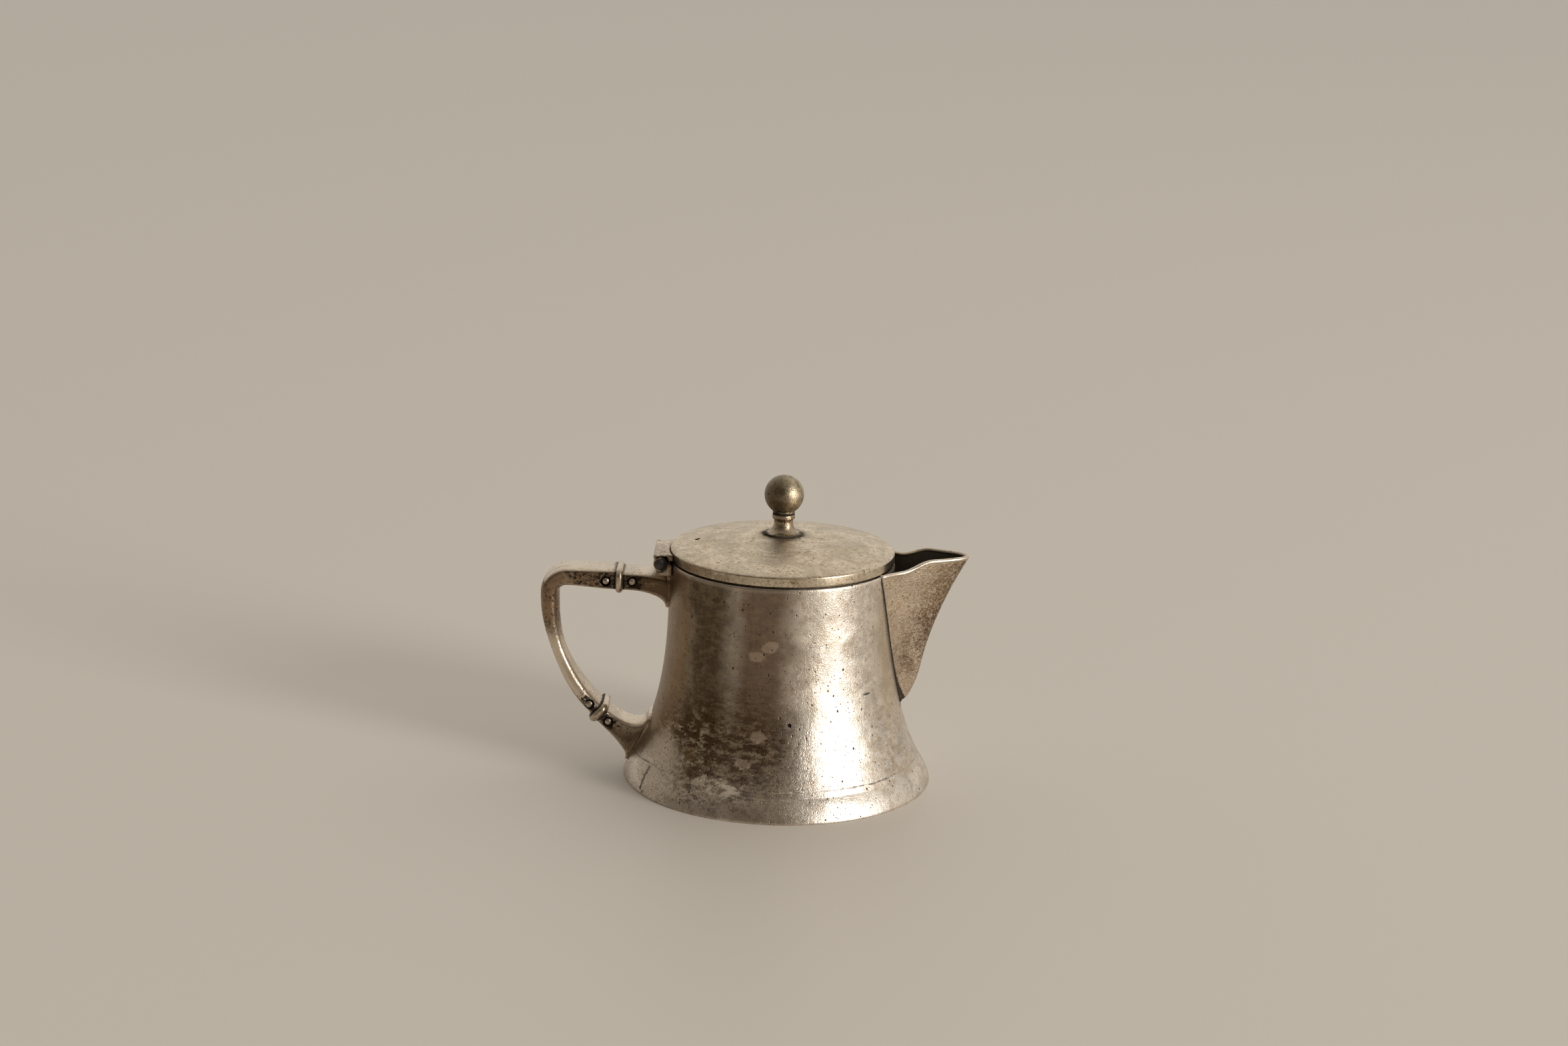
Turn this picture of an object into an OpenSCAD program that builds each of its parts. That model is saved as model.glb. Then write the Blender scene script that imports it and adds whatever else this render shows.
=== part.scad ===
// Individual teapot: flared pot, open V spout, pinned C handle and a hinged lid with a ball finial.
// Origin: middle of the foot, on the table. +X points to the spout, +Z up.

/* [Pot wall] */
// Height of the pot's rim above the table
rim_z = 64.9; // [61:0.1:70]
// Outer radius of the pot at its rim
rim_r = 32.6; // [30:0.1:35]
// Thickness of the pot's wall
wall_t = 1; // [0.8:0.1:1.3]
// Outer radius of the wall where it stands on the foot ring
shoulder_r = 41.8; // [40.5:0.1:43]
// How late the wall flares: a higher power keeps it upright further down
flare_power = 3.3; // [2.6:0.1:4]

/* [Strainer] */
// Radius of each strainer hole behind the spout
strainer_hole_r = 1.2; // [0.8:0.1:1.5]
// Distance between neighbouring strainer holes
strainer_pitch = 4.4; // [3.6:0.1:4.8]
// Rows of holes, the top row with as many holes as there are rows
strainer_rows = 5; // [3:1:5]
// Depth of the top row of holes below the rim
strainer_drop = 9; // [7:0.1:11]

/* [Foot] */
// Radius of the foot at the table
foot_r = 45; // [44:0.1:47]
// Height of the foot ring
foot_h = 6.5; // [5.5:0.1:7.5]
// How far the foot's side swells out past a straight cone
foot_bulge = 0.3; // [0:0.1:0.5]
// Thickness of the foot ring's wall
foot_wall_t = 1.6; // [1.2:0.1:2]
// Height of the rounded edge that stands on the table
foot_edge_h = 0.5; // [0.3:0.1:0.8]
// Width of the ledge that carries the base plate, inwards from the pot's wall
foot_ledge_w = 1.8; // [1.2:0.1:2.6]
// Thickness of the ledge
foot_ledge_t = 1; // [0.8:0.1:1.4]
// Thickness of the base plate
base_plate_t = 1; // [0.8:0.1:1.4]
// Gap between the base plate's edge and the pot's wall
base_plate_clearance = 0.1; // [0.05:0.05:0.3]

/* [Spout] */
// How far the spout's tip stands out from the rim
spout_reach = 21.5; // [18:0.1:25]
// How far the spout's lip rises above the pot's rim
spout_lip_rise = 2.6; // [1.5:0.1:3.5]
// Depth of the spout's root below the rim
spout_root_drop = 41.6; // [36:0.1:44]
// Half of the spout's width along its seam at the rim
spout_half_w = 16.5; // [14:0.1:18]
// Thickness of the spout's sheet
spout_t = 1; // [0.8:0.1:1.3]
// How far the keel stands out from the wall at the root
keel_out = 4.4; // [3.5:0.1:5.5]
// How far the blunt nose under the keel stands out from the wall
nose_out = 1.5; // [1:0.1:2.2]
// Gap left for solder between a soldered piece and the pot's wall
solder_gap = 0.05; // [0.02:0.01:0.1]

/* [Lid] */
// How much smaller than the rim the lid's radius is
lid_inset = 0.2; // [0:0.1:0.6]
// Gap between the rim and the closed lid
lid_gap = 0.5; // [0.3:0.1:0.7]
// Height of the lid's upright edge
lid_edge_h = 3; // [2.6:0.1:3.4]
// Rise of the lid's dome above its edge
lid_rise = 4.3; // [3:0.1:6]
// Thickness of the lid
lid_t = 0.9; // [0.7:0.1:1.2]
// Size of the rounded corner around the lid's top
lid_corner = 0.6; // [0.3:0.1:0.8]
// How far the lid's flange reaches down below its edge
flange_depth = 2.8; // [2:0.1:3.5]
// Thickness of the flange
flange_t = 0.8; // [0.6:0.1:1]
// Gap between the flange and the pot's wall
flange_clearance = 0.6; // [0.4:0.1:0.9]
// How far inside the lid's edge the flange is soldered
flange_inset = 0.2; // [0.1:0.1:0.6]
// Radius of the steam vent
vent_r = 0.65; // [0.5:0.05:0.9]
// Distance of the vent from the lid's edge on the handle's side
vent_inset = 7.7; // [6:0.1:12]

/* [Finial] */
// Radius of the ball
ball_r = 5.7; // [5:0.1:6.5]
// Height of the ball's centre above the stem
ball_sit = 5.6; // [5.2:0.1:6.4]
// Radius of the short neck under the ball
ball_neck_r = 3; // [2.6:0.1:3.2]
// Height of the stem
stem_h = 6; // [5:0.1:8]
// Radius of the ring at the stem's top
stem_ring_r = 3.3; // [3:0.1:3.6]
// Height of that ring
stem_ring_h = 1.3; // [0.9:0.1:1.6]
// Smallest radius of the stem
stem_waist_r = 2.75; // [2.4:0.05:2.9]
// Radius of the stem's foot
stem_foot_r = 5.4; // [4.6:0.1:6.2]
// Height of the rim around the stem's foot
stem_foot_h = 0.5; // [0.3:0.1:0.8]
// Radius of the stud that holds the finial
stud_r = 1.2; // [1:0.1:1.4]
// Depth of the stud's hole in the ball, from the stem
stud_depth = 4.6; // [3.5:0.1:6]
// Radius of the washer under the lid
washer_r = 3.2; // [2.6:0.1:4]
// Thickness of the washer
washer_t = 0.7; // [0.5:0.1:1]
// Width of the nut across its flats
nut_flats = 4.6; // [4:0.1:5.5]
// Height of the nut
nut_h = 1.8; // [1.4:0.1:2.4]
// Length of stud left below the nut
stud_tail = 0.6; // [0.2:0.1:1]
// Clearance around the stud in each hole
stud_clearance = 0.05; // [0.02:0.01:0.1]

/* [Hinge] */
// Distance of the hinge pin outside the rim
hinge_out = 2.35; // [2.3:0.05:2.8]
// Depth of the hinge pin below the rim
hinge_drop = 0.2; // [0:0.1:0.6]
// Outer radius of the knuckles
knuckle_r = 2; // [1.8:0.05:2]
// Full width of the hinge
hinge_w = 18.4; // [16:0.1:20]
// Width of the lid's knuckle
lid_knuckle_w = 8; // [6:0.1:9]
// Gap at each end of the lid's knuckle
knuckle_gap = 0.15; // [0.05:0.05:0.3]
// Radius of the hinge pin
hinge_pin_r = 0.9; // [0.7:0.05:1.1]
// Radius of the hinge pin's domed ends
hinge_head_r = 1.5; // [1.3:0.1:1.7]
// Height of the hinge pin's domed ends
hinge_head_h = 0.6; // [0.4:0.1:0.8]
// Clearance around the pin in the pot's knuckles
pin_fit_clearance = 0.02; // [0.01:0.01:0.04]
// Clearance around the pin in the lid's knuckle
pin_run_clearance = 0.08; // [0.05:0.01:0.1]
// Distance of the block's outer face from the pin's axis
block_out = 1.15; // [1:0.05:1.2]
// Gap under and behind the lid's knuckle
knuckle_room = 0.4; // [0.3:0.1:0.5]
// Gap between the knuckles and the strap above them
strap_gap = 0.3; // [0.2:0.05:0.4]
// Thickness of the strap
strap_t = 0.8; // [0.6:0.1:1]
// Depth of the lip that rolls down over the knuckles
strap_lip_h = 0.6; // [0.4:0.1:0.6]
// How far the strap's outer end stands past the pin's axis
strap_out = 2.05; // [1.9:0.05:2.2]

/* [Handle] */
// Depth of the upper socket's axis below the rim
handle_drop = 6.6; // [6:0.05:7.5]
// Distance of the upper collar outside the rim
collar_out = 14.3; // [12:0.1:17]
// Distance of the grip's centre line outside the rim, at the back
grip_out = 34.5; // [31:0.1:38]
// Half width of the sockets and of the grip's ends
handle_half_w = 5.5; // [4.8:0.1:6]
// Half width of the grip at its narrowest
grip_waist_half_w = 4.1; // [3.6:0.1:4.7]
// Half thickness of the upper socket
upper_half_h = 2.8; // [2.5:0.05:3]
// Half thickness of the grip's end at the upper collar
grip_end_half_h = 3; // [2.6:0.05:3.1]
// Half thickness of the grip around its bend
bend_half_h = 2.65; // [2.4:0.05:2.9]
// Half thickness of the lower socket
lower_half_h = 2.4; // [2.3:0.05:2.7]
// Half thickness of the grip at its thinnest
grip_waist_half_h = 2; // [1.8:0.05:2.4]
// How far the grip's centre line stands above the upper socket's
grip_step = 0.35; // [0:0.05:0.5]
// Rise of the grip's centre line from the collar to the bend
grip_rise = 0.45; // [0:0.05:0.7]
// Radius of the bend at the grip's top, on its centre line
bend_r = 5.3; // [4.4:0.1:6.5]
// Straight drop after the bend
grip_drop = 1.6; // [0.5:0.1:4]
// Radius of the grip's long curve, on its centre line
grip_arc_r = 46; // [43:0.1:48.5]
// Angle that the long curve turns through
grip_sweep = 47.3; // [44:0.1:50]
// Radius of the rounded edges along the handle
handle_edge_r = 1.3; // [0.8:0.1:1.6]
// Thickness of each collar
collar_t = 2; // [1.6:0.1:2.6]
// How far each collar stands proud of the sockets
collar_proud = 0.75; // [0.4:0.05:1]
// Radius of the collars' spigots
spigot_r = 1.5; // [1.3:0.05:1.6]
// Length of each spigot
spigot_len = 6; // [5.5:0.1:7]
// Clearance around and past each spigot
spigot_clearance = 0.05; // [0.02:0.01:0.1]
// Distance of each cross pin from the middle of its collar
pin_offset = 3.8; // [3.4:0.1:4.2]
// Radius of the cross pins
cross_pin_r = 0.6; // [0.4:0.05:0.7]
// Radius of the cross pins' heads
cross_head_r = 1.1; // [0.9:0.05:1.2]
// Height of the cross pins' heads
cross_head_h = 0.8; // [0.6:0.1:1]
// Radius of the recess around each head
recess_r = 1.5; // [1.3:0.05:1.7]
// Depth of the recess around each head
recess_h = 0.5; // [0.3:0.1:0.6]
// Radius of the flare under the upper socket
upper_flare_r = 5.1; // [4:0.1:5.6]
// Radius of the flares above and below the lower socket
lower_flare_r = 4.4; // [4:0.1:4.8]
// Thickness of the pads that the sockets spread into
pad_t = 0.9; // [0.6:0.1:1.2]
// Half width of the upper pad
upper_pad_half_w = 6.6; // [6:0.1:7.5]
// Half width of the upper pad's toe
upper_toe_half_w = 5; // [3:0.1:6]
// Length of the upper pad below its socket
upper_pad_drop = 5.6; // [5:0.1:7]
// Half width of the lower pad
lower_pad_half_w = 7.2; // [6.4:0.1:8]
// Half width of the lower pad's toe
lower_toe_half_w = 2.2; // [1.5:0.1:4]
// Height of the lower pad's top above the socket's axis, at the wall
lower_pad_rise = 8.4; // [7.8:0.1:9]
// Depth of the lower pad's toe below the socket's axis, at the wall
lower_pad_drop = 4.4; // [4:0.1:5]

/* [Hidden] */
$fn = 96;

silver = "#b5aa98";
warm_silver = "#ab9a82";
dark_silver = "#8d8170";
olive_brass = "#7d6f52";
dark_steel = "#5c5a58";

wall_steps = 20;        // cones that make up the wall's curve
foot_steps = 5;         // cones that make up the foot's curve
spout_rings = 14;       // rings in the spout's loft
spout_side_points = 10; // points along each side of a spout ring
arc_rings = 14;         // rings along the grip's long curve
bend_rings = 7;         // rings around the grip's bend
corner_points = 4;      // points around each rounded corner of a grip ring
overshoot = 1;          // how far a cutting shape runs past what it cuts
overlap = 0.2;          // how far two shapes of one piece run into each other

// ---- Pot: outline shared by everything soldered to it ----

function wall_r(z) =
    rim_r + (shoulder_r - rim_r) * pow(max(0, rim_z - z) / (rim_z - foot_h), flare_power);

function foot_side_r(z) =
    let (t = (max(z, foot_edge_h) - foot_edge_h) / (foot_h - foot_edge_h))
    foot_r + (shoulder_r - foot_r) * t + foot_bulge * 4 * t * (1 - t);

function pot_r(z) = z < foot_h ? foot_side_r(z) : wall_r(z);

function wall_line(inset) = [
    for (i = [0:wall_steps])
        let (z = foot_h + (rim_z - foot_h) * i / wall_steps) [wall_r(z) - inset, z]
];

function foot_line(inset) = [
    for (i = [0:foot_steps - 1])
        let (z = foot_edge_h + (foot_h - foot_edge_h) * i / foot_steps)
        [foot_side_r(z) - inset, z]
];

function reversed(list) = [for (i = [len(list) - 1:-1:0]) list[i]];

// The whole pot as one block, grown sideways, running past the table and the rim
module pot_block(grow) {
    top = rim_z + lid_edge_h;
    rotate_extrude()
        polygon(concat(
            [[0, -overshoot], [foot_side_r(0) + grow, -overshoot]],
            foot_line(-grow),
            wall_line(-grow),
            [[rim_r + grow, top], [0, top]]
        ));
}

// ---- Small helpers ----

module rounded_square(half_w, half_h, r) {
    corner = min(r, half_w, half_h);
    translate([-half_w + corner, -half_h]) square([2 * (half_w - corner), 2 * half_h]);
    translate([-half_w, -half_h + corner]) square([2 * half_w, 2 * (half_h - corner)]);
    for (x = [-1, 1], y = [-1, 1])
        translate([x * (half_w - corner), y * (half_h - corner)]) circle(corner);
}

// Stands a drawing of x and z up as a slab across the handle, half_w each way
module across(half_w) {
    rotate([90, 0, 0]) linear_extrude(2 * half_w, center = true) children();
}

// Stands a drawing of y and z up and runs it along x
module along(length) {
    rotate([90, 0, 90]) linear_extrude(length) children();
}

module rod_along(x0, x1, r) {
    translate([x0, 0, 0]) rotate([0, 90, 0]) cylinder(h = x1 - x0, r = r);
}

module rod_across(half_len, r) {
    rotate([90, 0, 0]) cylinder(h = 2 * half_len, r = r, center = true);
}

// Skins a stack of rings with as many points each, in counterclockwise order seen from the stack's end
module loft(rings) {
    n = len(rings[0]);
    last = (len(rings) - 1) * n;
    polyhedron(
        points = [for (ring = rings) each ring],
        faces = concat(
            [[for (i = [0:n - 1]) i]],
            [[for (i = [n - 1:-1:0]) last + i]],
            [for (j = [0:len(rings) - 2], i = [0:n - 1])
                let (a = j * n + i, b = j * n + (i + 1) % n)
                each [[a, b + n, b], [a, a + n, b + n]]]
        )
    );
}

// ---- Pot ----

module strainer_holes() {
    for (row = [0:strainer_rows - 1]) {
        holes = strainer_rows - row;
        for (k = [0:holes - 1])
            translate([
                rim_r / 2,
                (k - (holes - 1) / 2) * strainer_pitch,
                rim_z - strainer_drop - row * strainer_pitch
            ])
                rotate([0, 90, 0]) cylinder(h = rim_r, r = strainer_hole_r);
    }
}

module body_shell() {
    color(silver)
        difference() {
            rotate_extrude()
                polygon(concat(wall_line(0), reversed(wall_line(wall_t))));
            strainer_holes();
        }
}

module foot_ring() {
    ledge_r = shoulder_r - wall_t - foot_ledge_w;
    ledge_z = foot_h - foot_ledge_t;
    color(silver)
        rotate_extrude()
            polygon(concat(
                [[foot_r - foot_edge_h, 0]],
                foot_line(0),
                [
                    [shoulder_r, foot_h],
                    [ledge_r, foot_h],
                    [ledge_r, ledge_z],
                    [foot_side_r(ledge_z) - foot_wall_t, ledge_z],
                    [foot_r - foot_wall_t, 0]
                ]
            ));
}

module base_plate() {
    plate_r = wall_r(foot_h + base_plate_t) - wall_t - base_plate_clearance;
    color(dark_silver)
        translate([0, 0, foot_h]) cylinder(h = base_plate_t, r = plate_r);
}

// ---- Spout ----

root_z = rim_z - spout_root_drop;
lip_z = rim_z + spout_lip_rise;
tip_x = rim_r + spout_reach;
keel_power = 1.8;       // how the keel sweeps out towards the tip
seam_power = 0.85;      // how the seam widens towards the rim
nose_half_w = 1.4;      // half width of the blunt nose
nose_slope = 0.85;      // run of the nose for each millimetre of rise
keel_roundness = 0.6;   // 1 makes every ring a parabola around the keel
ring_crowding = 1.3;    // above 1, the rings crowd towards the root
lip_start = 1.7;        // distance outside the rim where the lip starts to rise
lip_run = 8.8;          // length over which the lip rises
lip_steps = 12;

function keel_x(z) =
    let (
        root_x = wall_r(root_z),
        t = max(0, z - root_z) / (lip_z - root_z)
    )
    min(
        root_x + keel_out + (tip_x - root_x - keel_out) * pow(t, keel_power),
        root_x + nose_out + nose_slope * (z - root_z)
    );

function seam_half_w(z) =
    let (t = max(0, z - root_z) / (rim_z - root_z))
    max(nose_half_w, spout_half_w * pow(t, seam_power));

// Share of the half width at s, which runs from 0 on the keel to 1 on the seam
function side_y(s) = keel_roundness * s + (1 - keel_roundness) * pow(s, 6);

// One level ring: soft at the keel, straight at the sides, flared at the seam
function spout_ring(z, inset) =
    let (
        half_w = seam_half_w(z) - inset,
        seam_x = sqrt(pow(wall_r(z), 2) - pow(half_w, 2)),
        tip = keel_x(z) - inset,
        side = [
            for (k = [spout_side_points:-1:1])
                let (s = k / spout_side_points)
                [tip - (tip - seam_x) * s * s, half_w * side_y(s), z]
        ],
        back_x = rim_r / 2
    )
    concat(
        [[back_x, -half_w, z]],
        [for (p = side) [p[0], -p[1], z]],
        [[tip, 0, z]],
        reversed(side),
        [[back_x, half_w, z]]
    );

function lip_height(x) =
    let (t = min(1, max(0, (x - rim_r - lip_start) / lip_run)))
    rim_z + (lip_z - rim_z) * t * t * (3 - 2 * t);

module spout_block(inset, z0) {
    top = lip_z + overshoot;
    loft([
        for (i = [0:spout_rings])
            spout_ring(z0 + (top - z0) * pow(i / spout_rings, ring_crowding), inset)
    ]);
}

module lip_profile() {
    far = tip_x + overshoot;
    polygon(concat(
        [[0, 0], [0, rim_z]],
        [for (i = [0:lip_steps])
            let (x = rim_r + lip_start + lip_run * i / lip_steps) [x, lip_height(x)]],
        [[far, lip_z], [far, 0]]
    ));
}

module spout() {
    color(warm_silver)
        difference() {
            intersection() {
                spout_block(0, root_z);
                across(spout_half_w + overshoot) lip_profile();
            }
            spout_block(spout_t, root_z + 2 * spout_t);
            pot_block(solder_gap);
        }
}

// ---- Handle ----

upper_axis_z = rim_z - handle_drop;
upper_collar_x = -(rim_r + collar_out);
grip_x = -(rim_r + grip_out);
arc_centre_x = grip_x + grip_arc_r;
arc_z = upper_axis_z + grip_step + grip_rise - bend_r - grip_drop;
lower_collar_x = arc_centre_x - grip_arc_r * cos(grip_sweep);
lower_collar_z = arc_z - grip_arc_r * sin(grip_sweep);
lower_tilt = 90 - grip_sweep;
recess_floor = handle_half_w - recess_h;
flare_back = 3;         // how far behind the joint the upper of the two lower flares starts
flare_front = 2;        // how far in front of it the under flare starts

// Moves a piece drawn along +x into the upper or lower collar's place and direction
module at_upper_collar() {
    translate([upper_collar_x, 0, upper_axis_z]) children();
}

module at_lower_collar() {
    translate([lower_collar_x, 0, lower_collar_z]) rotate([0, lower_tilt, 0]) children();
}

// Distance from the lower collar to the pot's wall, along the lower socket's axis
function socket_reach(lo, hi, tries) =
    let (
        mid = (lo + hi) / 2,
        x = lower_collar_x + mid * cos(lower_tilt),
        z = lower_collar_z - mid * sin(lower_tilt)
    )
    tries == 0 ? mid
    : -x > pot_r(z) ? socket_reach(mid, hi, tries - 1)
    : socket_reach(lo, mid, tries - 1);

lower_reach = socket_reach(0, 60, 24);
lower_joint_z = lower_collar_z - lower_reach * sin(lower_tilt);
block_z = upper_axis_z + upper_half_h;
upper_pad_bottom = upper_axis_z - upper_half_h - upper_pad_drop;
lower_pad_top = lower_joint_z + lower_pad_rise;
lower_pad_bottom = max(foot_edge_h, lower_joint_z - lower_pad_drop);

// Holes that the collar's spigot and the cross pin need, on the side that dir names
module socket_holes(dir) {
    hole_end = collar_t / 2 + spigot_len + spigot_clearance;
    if (dir > 0)
        rod_along(0, hole_end, spigot_r + spigot_clearance);
    else
        rod_along(-hole_end, 0, spigot_r + spigot_clearance);
    translate([dir * pin_offset, 0, 0]) {
        rod_across(handle_half_w + overshoot, cross_pin_r + spigot_clearance);
        for (side = [-1, 1])
            translate([0, side * (recess_floor + overshoot), 0]) rod_across(overshoot, recess_r);
    }
}

// A socket's outline on the pot's wall, as seen from behind the handle: it narrows to a toe
module socket_outline(half_w, toe_half_w, z0, z1) {
    middle = (z0 + z1) / 2;
    translate([-foot_r - pad_t, 0, 0])
        along(foot_r)
        polygon([
            [-toe_half_w, z0], [toe_half_w, z0], [half_w, middle], [half_w, z1],
            [-half_w, z1], [-half_w, middle]
        ]);
}

// The skin of even thickness by which a socket lies on the pot's wall
module pad_skin() {
    difference() {
        pot_block(pad_t);
        pot_block(solder_gap);
    }
}

module handle_upper_socket() {
    length = -upper_collar_x - collar_t / 2 - rim_r / 2;
    flare_x = -(rim_r + pad_t / 2 + upper_flare_r);
    flare_z = upper_axis_z - upper_half_h - upper_flare_r;
    color(silver)
        difference() {
            union() {
                at_upper_collar()
                    translate([collar_t / 2, 0, 0])
                    along(length) rounded_square(handle_half_w, upper_half_h, handle_edge_r);
                intersection() {
                    union() {
                        across(handle_half_w) upper_flare_outline(flare_x, flare_z);
                        pad_skin();
                    }
                    socket_outline(upper_pad_half_w, upper_toe_half_w, upper_pad_bottom, block_z);
                }
            }
            pot_block(solder_gap);
            at_upper_collar() socket_holes(1);
        }
}

module upper_flare_outline(x, z) {
    difference() {
        translate([x, z]) square([upper_flare_r + rim_r / 2, upper_flare_r + upper_half_h]);
        translate([x, z]) circle(upper_flare_r);
    }
}

module lower_flare_outline() {
    top_x = lower_reach - lower_flare_r - flare_back;
    bottom_x = lower_reach - lower_flare_r + flare_front;
    far = lower_reach + 2 * lower_flare_r;
    high = lower_half_h + lower_flare_r;
    difference() {
        polygon([
            [top_x, 0], [top_x, high], [far, high], [far, -high], [bottom_x, -high], [bottom_x, 0]
        ]);
        translate([top_x, high]) circle(lower_flare_r);
        translate([bottom_x, -high]) circle(lower_flare_r);
    }
}

module handle_lower_socket() {
    color(silver)
        difference() {
            union() {
                at_lower_collar()
                    translate([collar_t / 2, 0, 0])
                    along(lower_reach) rounded_square(handle_half_w, lower_half_h, handle_edge_r);
                intersection() {
                    union() {
                        at_lower_collar() across(handle_half_w) lower_flare_outline();
                        pad_skin();
                    }
                    socket_outline(lower_pad_half_w, lower_toe_half_w, lower_pad_bottom, lower_pad_top);
                }
            }
            pot_block(solder_gap);
            at_lower_collar() socket_holes(1);
        }
}

module collar(half_h) {
    translate([-collar_t / 2, 0, 0])
        along(collar_t)
        rounded_square(handle_half_w + collar_proud, half_h + collar_proud,
                       handle_edge_r + collar_proud);
    difference() {
        rod_along(-collar_t / 2 - spigot_len, collar_t / 2 + spigot_len, spigot_r);
        for (dir = [-1, 1])
            translate([dir * pin_offset, 0, 0])
                rod_across(spigot_r + overshoot, cross_pin_r + spigot_clearance);
    }
}

module handle_upper_collar() {
    color(silver) at_upper_collar() collar(upper_half_h);
}

module handle_lower_collar() {
    color(silver) at_lower_collar() collar(lower_half_h);
}

// A rounded ring across the grip at (x, z), square to the heading, which is 0 towards -x
function grip_ring(x, z, heading, half_w, half_h) = [
    for (c = [0:3], k = [0:corner_points])
        let (
            a = 90 * c + 90 * k / corner_points,
            r = min(handle_edge_r, half_h),
            side = [1, -1, -1, 1][c] * (half_w - r) + r * cos(a),
            up = [1, 1, -1, -1][c] * (half_h - r) + r * sin(a)
        )
        [x - up * sin(heading), side, z + up * cos(heading)]
];

// Swells from 0 at both ends of 0 to 1 to 1 in the middle
function belly(t) = pow(sin(180 * min(1, max(0, t))), 2);

module handle_grip() {
    arm_x = upper_collar_x - collar_t / 2;
    arm_z = upper_axis_z + grip_step;
    bend_x = grip_x + bend_r;
    bend_z = arm_z + grip_rise - bend_r;
    pin_sweep = (pin_offset + recess_r) / grip_arc_r * 180 / PI;
    arm = [
        grip_ring(arm_x, arm_z, 0, handle_half_w, grip_end_half_h),
        grip_ring(arm_x - pin_offset, arm_z, 0, handle_half_w, grip_end_half_h)
    ];
    bend = [
        for (i = [0:bend_rings])
            let (a = 90 * i / bend_rings)
            grip_ring(bend_x - bend_r * sin(a), bend_z + bend_r * cos(a), a,
                      handle_half_w, bend_half_h)
    ];
    arc = [
        for (i = [0:arc_rings - 1])
            let (
                t = i / arc_rings,
                a = grip_sweep * t,
                b = belly(a / (grip_sweep - pin_sweep)),
                plain_h = bend_half_h + (lower_half_h - bend_half_h) * t
            )
            grip_ring(
                arc_centre_x - grip_arc_r * cos(a), arc_z - grip_arc_r * sin(a), 90 + a,
                handle_half_w + (grip_waist_half_w - handle_half_w) * b,
                plain_h + (grip_waist_half_h - plain_h) * b
            )
    ];
    end = grip_ring(
        lower_collar_x - collar_t / 2 * cos(lower_tilt),
        lower_collar_z + collar_t / 2 * sin(lower_tilt),
        90 + grip_sweep, handle_half_w, lower_half_h
    );
    color(silver)
        difference() {
            loft(concat(arm, bend, arc, [end]));
            at_upper_collar() socket_holes(-1);
            at_lower_collar() socket_holes(-1);
        }
}

module cross_pin() {
    rod_across(recess_floor + cross_head_h / 2, cross_pin_r);
    for (side = [0, 180])
        rotate([0, 0, side])
            translate([0, recess_floor, 0]) rotate([-90, 0, 0])
            dome(cross_head_r, cross_head_h);
}

// A low dome that stands on z = 0
module dome(r, h) {
    ball = (r * r + h * h) / (2 * h);
    intersection() {
        translate([0, 0, h - ball]) sphere(ball);
        cylinder(h = h, r = r);
    }
}

module handle_pins() {
    color(silver)
        for (dir = [-1, 1]) {
            at_upper_collar() translate([dir * pin_offset, 0, 0]) cross_pin();
            at_lower_collar() translate([dir * pin_offset, 0, 0]) cross_pin();
        }
}

// ---- Hinge ----

hinge_x = -(rim_r + hinge_out);
hinge_z = rim_z - hinge_drop;
ear_y = lid_knuckle_w / 2 + knuckle_gap;
block_floor_t = 0.6;    // floor of the block behind the lid's knuckle
web_z = 1;              // height of the web's underside above the pin's axis
web_gap = 0.05;         // how far the web stays outside the knuckles
saddle_back = 1;        // the saddle's reach behind the pin's axis
saddle_front = 1.2;     // the saddle's reach in front of it

module at_hinge() {
    translate([hinge_x, 0, hinge_z]) children();
}

module hinge_block() {
    depth = hinge_z - block_z;
    room_r = knuckle_r + knuckle_room;
    color(silver)
        difference() {
            union() {
                translate([hinge_x - block_out, -hinge_w / 2, block_z])
                    cube([hinge_out + block_out + rim_r / 2, hinge_w, hinge_z - block_z]);
                at_hinge() rod_across(hinge_w / 2, knuckle_r);
            }
            pot_block(solder_gap);
            at_hinge() {
                rod_across(hinge_w / 2 + overshoot, hinge_pin_r + pin_fit_clearance);
                rod_across(ear_y, room_r);
                translate([-2 * room_r, -ear_y, 0]) cube([4 * room_r, 2 * ear_y, depth]);
                translate([-2 * room_r, -ear_y, block_floor_t - depth])
                    cube([2 * room_r, 2 * ear_y, depth]);
            }
        }
}

module hinge_pin() {
    color(dark_steel)
        at_hinge() {
            rod_across(hinge_w / 2 + hinge_head_h / 2, hinge_pin_r);
            for (side = [0, 180])
                rotate([0, 0, side])
                    translate([0, hinge_w / 2, 0]) rotate([-90, 0, 0])
                    dome(hinge_head_r, hinge_head_h);
        }
}

// ---- Lid ----

lid_r = rim_r - lid_inset;
lid_z = rim_z + lid_gap;
lid_edge_z = lid_z + lid_edge_h;
lid_top_z = lid_edge_z + lid_rise;
dome_r = (lid_r * lid_r + lid_rise * lid_rise) / (2 * lid_rise);

function dome_z(r) = lid_top_z - dome_r + sqrt(dome_r * dome_r - r * r);

module lid_block(inset, z0) {
    r = lid_r - inset;
    intersection() {
        translate([0, 0, lid_top_z - dome_r]) sphere(dome_r - inset, $fn = 240);
        translate([0, 0, z0])
            rotate_extrude()
            polygon([
                [0, 0],
                [r, 0],
                [r, lid_edge_z - z0 - lid_corner - inset / 2],
                [r - lid_corner, lid_edge_z - z0 + lid_rise],
                [0, lid_edge_z - z0 + lid_rise]
            ]);
    }
}

module lid_shell() {
    vent_x = -(lid_r - vent_inset);
    color(silver)
        difference() {
            lid_block(0, lid_z);
            lid_block(lid_t, lid_z - overshoot);
            translate([0, 0, lid_z])
                cylinder(h = 2 * lid_rise + lid_edge_h, r = stud_r + stud_clearance);
            translate([vent_x, 0, lid_z]) cylinder(h = 2 * lid_rise + lid_edge_h, r = vent_r);
        }
}

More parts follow.
